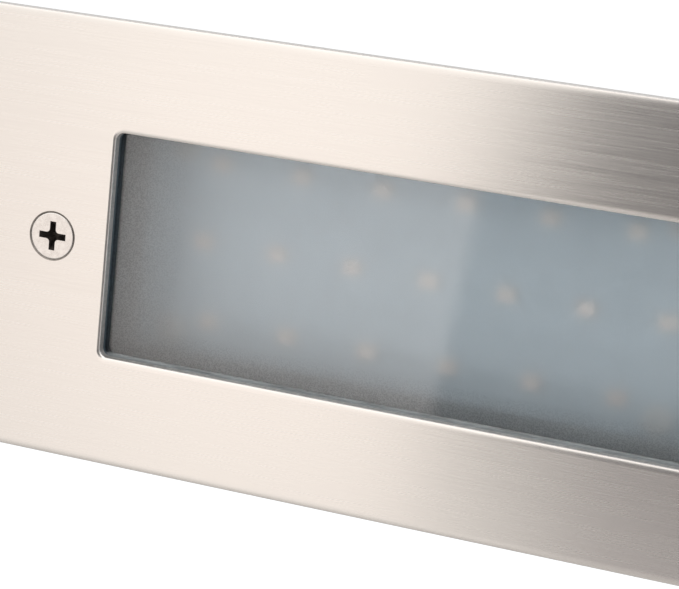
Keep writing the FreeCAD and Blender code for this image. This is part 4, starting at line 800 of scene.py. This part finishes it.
class STEPLIGHT_OT_stage(bpy.types.Operator):
    """Camera, lamps, floor and the white surroundings"""

    bl_idname = "steplight.stage"
    bl_label = "Stage"

    def execute(self, context):
        studio = context.scene.step_light_studio
        self.camera(context, studio)
        self.room(context, studio.room)
        self.floor()
        soft = self.lamp("soft_lamp", (-0.97, -1.0, -0.05), (0.0, 1.0, 0.0), (1.28, 1.5), studio.lamp,
                         (1.0, 0.965, 0.935))
        soft.visible_glossy = False
        self.lamp("upper_lamp", (0.5, -0.5, 1.3), (-0.35, 0.4, -0.9), (1.2, 1.2), studio.fill,
                  (0.96, 0.98, 1.0))
        self.mirrored_panel(studio)
        context.scene.view_settings.view_transform = "Standard"
        return {"FINISHED"}

    def camera(self, context, studio):
        """The camera where the photographer's stood, turned as it was."""
        place = Vector((87.9, -381.7, 87.8)) * MM
        ahead = Vector((-0.3273, 0.9196, -0.2171)).normalized()
        up = Vector((-0.1674, 0.1697, 0.9712))
        up = (up - ahead * up.dot(ahead)).normalized()
        right = ahead.cross(up)
        lens = bpy.data.cameras.new("camera")
        lens.lens = studio.lens
        lens.clip_start = 0.01
        camera = placed("camera", lens)
        turn = Matrix((right, up, -ahead)).transposed()
        camera.matrix_world = Matrix.Translation(place) @ turn.to_4x4()
        context.scene.camera = camera

    def room(self, context, level):
        """Soft light from all round, and plain white where the room is looked at or mirrored."""
        world = bpy.data.worlds.new("room")
        world.use_nodes = True
        nodes = Nodes(world.node_tree)
        light = nodes.add("ShaderNodeBackground", {}, {"Color": (0.94, 0.97, 1.0, 1.0), "Strength": level})
        white = nodes.add("ShaderNodeBackground", {}, {"Color": (1.0, 1.0, 1.0, 1.0), "Strength": 1.0})
        choice = nodes.add("ShaderNodeMixShader", {}, (nodes.looked_at(), light, white))
        nodes.add("ShaderNodeOutputWorld", {}, {"Surface": choice})
        context.scene.world = world

    def floor(self):
        """A pale floor, lifted to white where it is looked at or mirrored."""
        half, level = 6.0, -0.30
        mesh = bmesh.new()
        mesh.faces.new([mesh.verts.new((x * half, y * half, level))
                        for x, y in ((-1, -1), (1, -1), (1, 1), (-1, 1))])
        f = Finish("floor_white")
        tooth = f.noise(f.stretched(40.0), detail=3.0)
        tone = f.mixed(tooth.step(0.2, 0.8), (0.86, 0.86, 0.86), (0.89, 0.89, 0.89))
        base = f.add("ShaderNodeBsdfDiffuse", {}, {"Color": tone})
        lift = f.add("ShaderNodeEmission", {}, {"Color": (1.0, 1.0, 1.0, 1.0), "Strength": 0.55})
        white = f.add("ShaderNodeAddShader", {}, (base, lift))
        material = f.finished(f.add("ShaderNodeMixShader", {}, (f.looked_at(), base, white)))
        piece = placed("floor", finished_mesh("floor", mesh, [material]))

    def lamp(self, name, place, aim, size, brightness, colour):
        """A rectangular lamp whose face has the brightness given."""
        light = bpy.data.lights.new(name, "AREA")
        light.shape = "RECTANGLE"
        light.size, light.size_y = size
        light.energy = math.pi * brightness * size[0] * size[1]
        light.color = colour
        lamp = placed(name, light)
        lamp.rotation_euler = Vector(aim).to_track_quat("-Z", "Y").to_euler()
        lamp.location = place
        return lamp

    def mirrored_panel(self, studio):
        """What plate and glass mirror: the lit diffuser, the darker studio beside it and the bench."""
        left, right, low, high = -1.25, 0.9, -0.295, 0.65
        near_y, far_y = -0.03, -0.42
        mesh = bmesh.new()
        near, foot, head = [[mesh.verts.new((x, y, z)) for x in (left, right)]
                            for y, z in ((near_y, low), (far_y, low), (far_y, high))]
        for first, second in ((near, foot), (foot, head)):
            mesh.faces.new((first[0], first[1], second[1], second[0]))
        f = Finish("panel_graded")
        x, _y, z = f.parts()
        # The heights that the glass mirrors, and those below them, which the plate's lower part mirrors
        glass_level = z.step(-0.150, -0.138) * (1.0 - z.step(-0.052, -0.040))
        below = 1.0 - z.step(-0.160, -0.150)
        # How far a place is to the right of the diffuser's edge, which leans and steps with the height
        across = x - (z * 0.1154 - 0.1427) - (1.0 - glass_level) * 0.019 - below * 0.036
        lit = f.mixed(x.step(-0.38, -0.24), shade(studio.diffuser, 0.86), studio.diffuser)
        warmer = f.mixed(glass_level, (1.0, 1.0, 1.0), (1.06, 0.99, 0.965))
        lit = f.mixed(1.0, lit, warmer, "MULTIPLY")
        dim = f.mixed(z.step(-0.16, -0.02), studio.dim_side, studio.dark_side)
        unlit = f.mixed(glass_level, dim, shade(studio.dark_side, 0.4))
        darker = f.mixed(across.step(0.0, 0.16), (1.0, 1.0, 1.0), (0.55, 0.55, 0.55))
        side = f.mixed(across.step(-0.003, 0.007), lit, f.mixed(1.0, unlit, darker, "MULTIPLY"))
        whole = f.mixed(z.step(0.08, 0.34), side, studio.top_light)
        whole = f.mixed(z.step(low + 0.5 * MM, low + 1.0 * MM), studio.ground, whole)
        glow = f.add("ShaderNodeEmission", {}, {"Color": whole, "Strength": studio.mirrored})
        piece = placed("mirrored_panel", finished_mesh("mirrored_panel", mesh, [f.finished(glow)]))
        piece.visible_camera = False
        piece.visible_diffuse = False
        piece.visible_shadow = False
        piece.visible_transmission = False


class STEPLIGHT_OT_faceplate(bpy.types.Operator):
    """The brushed plate with its window, screw seats and worn edges"""

    bl_idname = "steplight.faceplate"
    bl_label = "Faceplate"

    # Places of the finishes in the plate's list, after the brushed face; the seat's finish is painted shade,
    # and the sealant's on the window's walls is painted shade with painted light at the bottom
    SEAT, CUT, ROLLED, BEAD = 1, 2, 3, 4

    def execute(self, context):
        sizes = context.scene.step_light_sizes
        front, back = PLATE_LOW.y, PLATE_HIGH.y
        half_x, half_z = PLATE_HIGH.x, PLATE_HIGH.z
        mesh = bmesh.new()
        window_x = sizes.window_length / 2 - sizes.window_land
        window_z = sizes.window_height / 2 - sizes.window_land
        back_edge = list(reversed(rolled(sizes.back_edge, sizes.back_edge, 4)))
        outer, inner = [], []
        for inset, depth in rolled(sizes.outer_roll, sizes.outer_drop):
            corner = max(sizes.plate_corner - inset, 0.2 * MM)
            outer.append(rounded(half_x - inset, half_z - inset, corner, front + depth))
        ends = sizes.window_end_roll / sizes.window_roll
        for inset, depth in rolled(sizes.window_roll, sizes.window_drop):
            corner = sizes.plate_corner + inset * ends
            inner.append(rounded(window_x + inset * ends, window_z + inset, corner, front + depth))
        for inset, depth in back_edge:
            corner = sizes.plate_corner - inset
            outer.append(rounded(half_x - inset, half_z - inset, corner, back - depth))
            corner = sizes.plate_corner + inset
            inner.append(rounded(window_x + inset, window_z + inset, corner, back - depth))
        # Partly painted shade: the ring where the dark sealant on the window's walls begins.
        bead_and_shade = [(x, front + sizes.bead_and_shade_level, z) for x, _y, z in inner[-len(back_edge)]]
        inner.insert(len(inner) - len(back_edge), bead_and_shade)
        stacks = [add_rings(mesh, outer)]
        self.paint(mesh, 0, self.ROLLED, front)
        self.paint(mesh, 0, self.CUT, front + sizes.outer_drop * 0.55)
        walls = len(mesh.faces)
        stacks.append(add_rings(mesh, inner))
        self.paint(mesh, walls, self.ROLLED, front)
        self.paint(mesh, walls, self.CUT, front + sizes.window_drop)
        # Painted shade: the deep part of the window's walls takes the dark border's finish, with painted
        # light at the bottom.
        self.paint(mesh, walls, self.BEAD, front + sizes.bead_and_shade_level)
        for side in (-1, 1):
            walls = len(mesh.faces)
            stacks.append(add_rings(mesh, self.seat(sizes, side * SCREW_X, front, back)))
            # Painted shade: the countersinks take the darkened seat finish.
            self.paint(mesh, walls, self.SEAT, front)
        add_flat(mesh, [stack[0] for stack in stacks])
        add_flat(mesh, [stack[-1] for stack in stacks])
        colours = context.scene.step_light_colours
        finishes = [slot_finish("brushed_steel", colours), screw_seat("screw_seat"), cut_edge("cut_edge"),
                    brushed_steel("rolled_edge", colours.steel, strokes=(20.0, 60.0, 150.0), spread=0.04),
                    painted_shade_and_light_band("window_bead", colours, window_z - 0.2 * MM)]
        data = finished_mesh("faceplate_brushed", mesh, finishes, sharp=40)
        add_piece("faceplate_brushed", data, "fitting", "brushed_steel", "faceplate")
        return {"FINISHED"}

    def paint(self, mesh, first, material, level):
        """Gives the faces made since the first their finish, where they lie deeper than a level."""
        mesh.faces.ensure_lookup_table()
        for face in mesh.faces[first:]:
            if face.calc_center_median().y > level:
                face.material_index = material

    def seat(self, sizes, x, front, back):
        """Rings of a countersunk hole, from the face to the back."""
        lip = 0.08 * MM
        cone = sizes.countersink - sizes.screw_hole
        profile = [(sizes.countersink + lip, front), (sizes.countersink + lip * 0.3, front + lip * 0.3),
                   (sizes.countersink - lip, front + lip), (sizes.screw_hole, front + cone),
                   (sizes.screw_hole, back)]
        return [circle(radius, y, x) for radius, y in profile]


class STEPLIGHT_OT_glass(bpy.types.Operator):
    """The thick pane: polished in front and etched behind"""

    bl_idname = "steplight.glass"
    bl_label = "Glass"

    def execute(self, context):
        sizes = context.scene.step_light_sizes
        # The pane is drawn in by a hair, so that it doesn't share its faces with the seal
        gap = 0.005 * MM
        half_x, half_z = PANE_HIGH.x - gap, PANE_HIGH.z - gap
        front, back = PANE_LOW.y + gap, PANE_HIGH.y - gap
        corner, edge = 2 * MM, sizes.pane_edge
        mesh = bmesh.new()
        sides = ((edge, front), (0.0, front + edge), (0.0, back - edge), (edge, back))
        made = add_rings(mesh, [rounded(half_x - inset, half_z - inset, corner, y) for inset, y in sides])
        mesh.faces.new(made[0])
        window_x, window_z = sizes.window_length / 2, sizes.window_height / 2
        clear = [mesh.verts.new(point) for point in rounded(window_x, window_z, sizes.plate_corner, back)]
        for i in range(len(clear)):
            # The ring round the clear middle takes the dark border, a painted shade.
            band = mesh.faces.new((made[-1][i - 1], made[-1][i], clear[i], clear[i - 1]))
            band.material_index = 2
        mesh.faces.new(clear).material_index = 1
        for face in mesh.faces:
            face.smooth = False
        colours = context.scene.step_light_colours
        # The third finish is the dark border, painted shade with painted light along its lower side.
        finishes = [clear_glass("frosted_glass", window_z, colours.lime_and_painted_light),
                    etched_glass("etched_glass", colours.glass, window_x, window_z),
                    painted_shade_and_light_band("glass_edge_band", colours, window_z)]
        add_piece("glass_pane_etched", finished_mesh("glass_pane_etched", mesh, finishes), "fitting",
                  "frosted_glass", "glass_pane")
        return {"FINISHED"}


class STEPLIGHT_OT_face_screws(bpy.types.Operator):
    """The two cross-head screws that hold the plate, with cut threads"""

    bl_idname = "steplight.face_screws"
    bl_label = "Face screws"

    # Radii of the head, the plain neck and the thread, and how far the neck reaches below the face
    RIM, NECK, CREST, NECK_END = 4.2 * MM, 1.98 * MM, 2.0 * MM, 4.2 * MM
    # The cross: half the length and the width of its arms, and its depth
    ARM_LENGTH, ARM_WIDTH, CROSS_DEPTH = 2.62 * MM, 0.56 * MM, 2.1 * MM

    def execute(self, context):
        pitch = context.scene.step_light_sizes.thread_pitch
        for name, side in (("left_face_screw", -1), ("right_face_screw", 1)):
            low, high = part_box(name)
            axis = side * SCREW_X
            mesh = bmesh.new()
            self.head(mesh, axis, low.y)
            threaded_shank(mesh, axis, self.CREST, low.y + self.NECK_END, high.y, pitch)
            # The second finish is the recess's near-black painted shade.
            finishes = [turned_steel(name + "_finish", (0.67, 0.65, 0.63), (axis, 0.0, 0.0)),
                        shaded_screw_recess(name + "_recess")]
            model = placed(name + "_cut", finished_mesh(name + "_cut", mesh, finishes))
            cut_out(model, cross_cutter(axis, low.y, self.ARM_LENGTH, self.ARM_WIDTH, self.CROSS_DEPTH))
            self.darken_recess(model.data, axis, low.y)
            model.data.set_sharp_from_angle(angle=math.radians(28))
            model.data.polygons.foreach_set("use_smooth", [abs(face.normal.y) < 0.9999
                                                           for face in model.data.polygons])
            body = name.replace("_face", "")
            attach(model, body)
            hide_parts(name)
        return {"FINISHED"}

    def darken_recess(self, data, axis, top):
        """Gives the faces of the recess their own finish, the near-black painted shade."""
        reach, arm, skin, floor = 2.9 * MM, 0.9 * MM, 0.02 * MM, 2.2 * MM
        for face in data.polygons:
            across, sunk, up = face.center.x - axis, face.center.y - top, face.center.z
            in_cross = math.hypot(across, up) < reach and min(abs(across), abs(up)) < arm
            if in_cross and skin < sunk < floor:
                face.material_index = 1

    def head(self, mesh, axis, top):
        """A countersunk head with a softened rim, and the plain neck below it."""
        rim, neck, soft = self.RIM, self.NECK, 0.12 * MM
        below, overlap = soft * 2.0, 0.05 * MM
        profile = [(rim - soft * 1.4, top), (rim - soft * 0.5, top + soft * 0.35), (rim, top + soft * 1.2),
                   (rim - 0.02 * MM, top + below), (neck, top + rim - soft - neck + below),
                   (neck, top + self.NECK_END + overlap)]
        add_bar(mesh, [circle(radius, y, axis) for radius, y in profile])


class STEPLIGHT_OT_leds(bpy.types.Operator):
    """Three rows of LED packages, each with its well of phosphor"""

    bl_idname = "steplight.leds"
    bl_label = "LEDs"

    def execute(self, context):
        sizes, colours = context.scene.step_light_sizes, context.scene.step_light_colours
        tree = led_rows()
        rows = {"Row Spacing": sizes.row_spacing, "Middle Count": sizes.middle_count,
                "Middle Pitch": sizes.middle_pitch, "Outer Count": sizes.outer_count,
                "Outer Pitch": sizes.outer_pitch}
        kinds = (
            ("led_packages_moulded", self.package(), LED_LOW.y, "led_body", "led_packages"),
            ("led_phosphors_domed", self.gel(), PHOSPHOR_LOW.y, "phosphor", "led_phosphors"),
        )
        for name, shape, level, slot, node in kinds:
            model = placed("template", shape)
            values = dict(rows, Level=level, Piece=model, Finish=slot_finish(slot, colours))
            data = grown(name, tree, values)
            bpy.data.objects.remove(model)
            add_piece(name, data, "fitting", slot, node)
        return {"FINISHED"}

    def package(self):
        """One package: a moulded frame round a sloping well, on two soldered feet."""
        mesh = bmesh.new()
        length, width, height = 1.74 * MM, 1.39 * MM, LED_HIGH.y - LED_LOW.y
        well, floor, depth = 1.15 * MM, 0.95 * MM, 0.5 * MM
        corner, drawn_in = 0.25 * MM, 0.99375
        walls = add_rings(mesh, [
            rounded(length * grow, width * grow, corner * grow, y, 9)
            for grow, y in ((drawn_in, 0.0), (1.0, 0.12 * MM), (1.0, height))])
        cup = add_rings(mesh, [circle(well, 0.0, steps=40), circle(floor, depth, steps=40)])
        add_flat(mesh, [walls[0], cup[0]])
        mesh.faces.new(cup[-1])
        mesh.faces.new(walls[-1])
        return finished_mesh("led_package", mesh, [])

    def gel(self):
        """The phosphor in the well, slightly sunk in the middle as it sets."""
        mesh = bmesh.new()
        well, depth = 1.13 * MM, 0.48 * MM
        profile = [(0.93 * MM, depth), (well, 0.02 * MM), (well * 0.8, 0.05 * MM), (well * 0.4, 0.09 * MM)]
        made = add_rings(mesh, [circle(radius, y, steps=32) for radius, y in profile])
        mesh.faces.new(made[0])
        mesh.faces.new(made[-1]).smooth = True
        return finished_mesh("led_gel", mesh, [])


class STEPLIGHT_OT_studs(bpy.types.Operator):
    """The threaded studs welded to the back of the plate"""

    bl_idname = "steplight.studs"
    bl_label = "Plate studs"

    def execute(self, context):
        mesh = bmesh.new()
        length = STUD_HIGH.y - STUD_LOW.y
        add_bar(mesh, [circle(STUD_RADIUS, 0.0, steps=28), circle(STUD_RADIUS * 0.98, STUD_FOOT, steps=28)])
        threaded_shank(mesh, 0.0, STUD_RADIUS, STUD_FOOT, length, 0.5 * MM, 20, 5)
        model = placed("template", finished_mesh("stud", mesh, [], sharp=28))
        x = STUD_HIGH.x - STUD_RADIUS
        z = STUD_HIGH.z - STUD_RADIUS
        points = [(px, STUD_LOW.y, pz) for px in (-x, 0.0, x) for pz in (-z, z)]
        data = grown("plate_studs_cut", on_points(), {
            "Piece": model, "Finish": slot_finish("screw_steel", context.scene.step_light_colours)}, points)
        bpy.data.objects.remove(model)
        add_piece("plate_studs_cut", data, "fitting", "screw_steel", "plate_studs")
        return {"FINISHED"}


class STEPLIGHT_OT_finishes(bpy.types.Operator):
    """A finish on every other piece, from the record's slots"""

    bl_idname = "steplight.finishes"
    bl_label = "Other finishes"

    def execute(self, context):
        colours = context.scene.step_light_colours
        slots = {part["node"]: part["material_slot"] for part in frame["record"]["subparts"]}
        made = {}
        for node, piece in frame["nodes"].items():
            if piece.hide_render:
                continue
            slot = slots[node]
            if node == "board_screws":
                slot = node
                made[slot] = painted_screw("board_screws_painted")
            if slot not in made:
                made[slot] = slot_finish(slot, colours)
            for place in piece.material_slots:
                place.link = "OBJECT"
                place.material = made[slot]
            if not piece.material_slots:
                raise RuntimeError(f"{node} has no place for a finish")
        return {"FINISHED"}


class STEPLIGHT_PT_panel(bpy.types.Panel):
    """The sizes, colours and steps of the step light"""

    bl_idname = "STEPLIGHT_PT_panel"
    bl_label = "Step Light"
    bl_space_type = "VIEW_3D"
    bl_region_type = "UI"
    bl_category = "Step Light"

    def draw(self, context):
        for step in STEPS:
            self.layout.operator(step.bl_idname)
        for group in (context.scene.step_light_sizes, context.scene.step_light_colours,
                      context.scene.step_light_studio):
            box = self.layout.box()
            for key in group.bl_rna.properties.keys():
                if key not in ("rna_type", "name"):
                    box.prop(group, key)


GROUPS = {
    "step_light_sizes": StepLightSizes,
    "step_light_colours": StepLightColours,
    "step_light_studio": StepLightStudio,
}
STEPS = (
    STEPLIGHT_OT_stage,
    STEPLIGHT_OT_faceplate,
    STEPLIGHT_OT_glass,
    STEPLIGHT_OT_face_screws,
    STEPLIGHT_OT_leds,
    STEPLIGHT_OT_studs,
    STEPLIGHT_OT_finishes,
)


def register():
    for name, group in GROUPS.items():
        bpy.utils.register_class(group)
        setattr(bpy.types.Scene, name, PointerProperty(type=group))
    for step in STEPS:
        bpy.utils.register_class(step)
    bpy.utils.register_class(STEPLIGHT_PT_panel)


def unregister():
    bpy.utils.unregister_class(STEPLIGHT_PT_panel)
    for step in reversed(STEPS):
        bpy.utils.unregister_class(step)
    for name, group in GROUPS.items():
        delattr(bpy.types.Scene, name)
        bpy.utils.unregister_class(group)


def main():
    register()
    for step in STEPS:
        family, call = step.bl_idname.split(".")
        getattr(getattr(bpy.ops, family), call)()


if __name__ == "__main__":
    main()
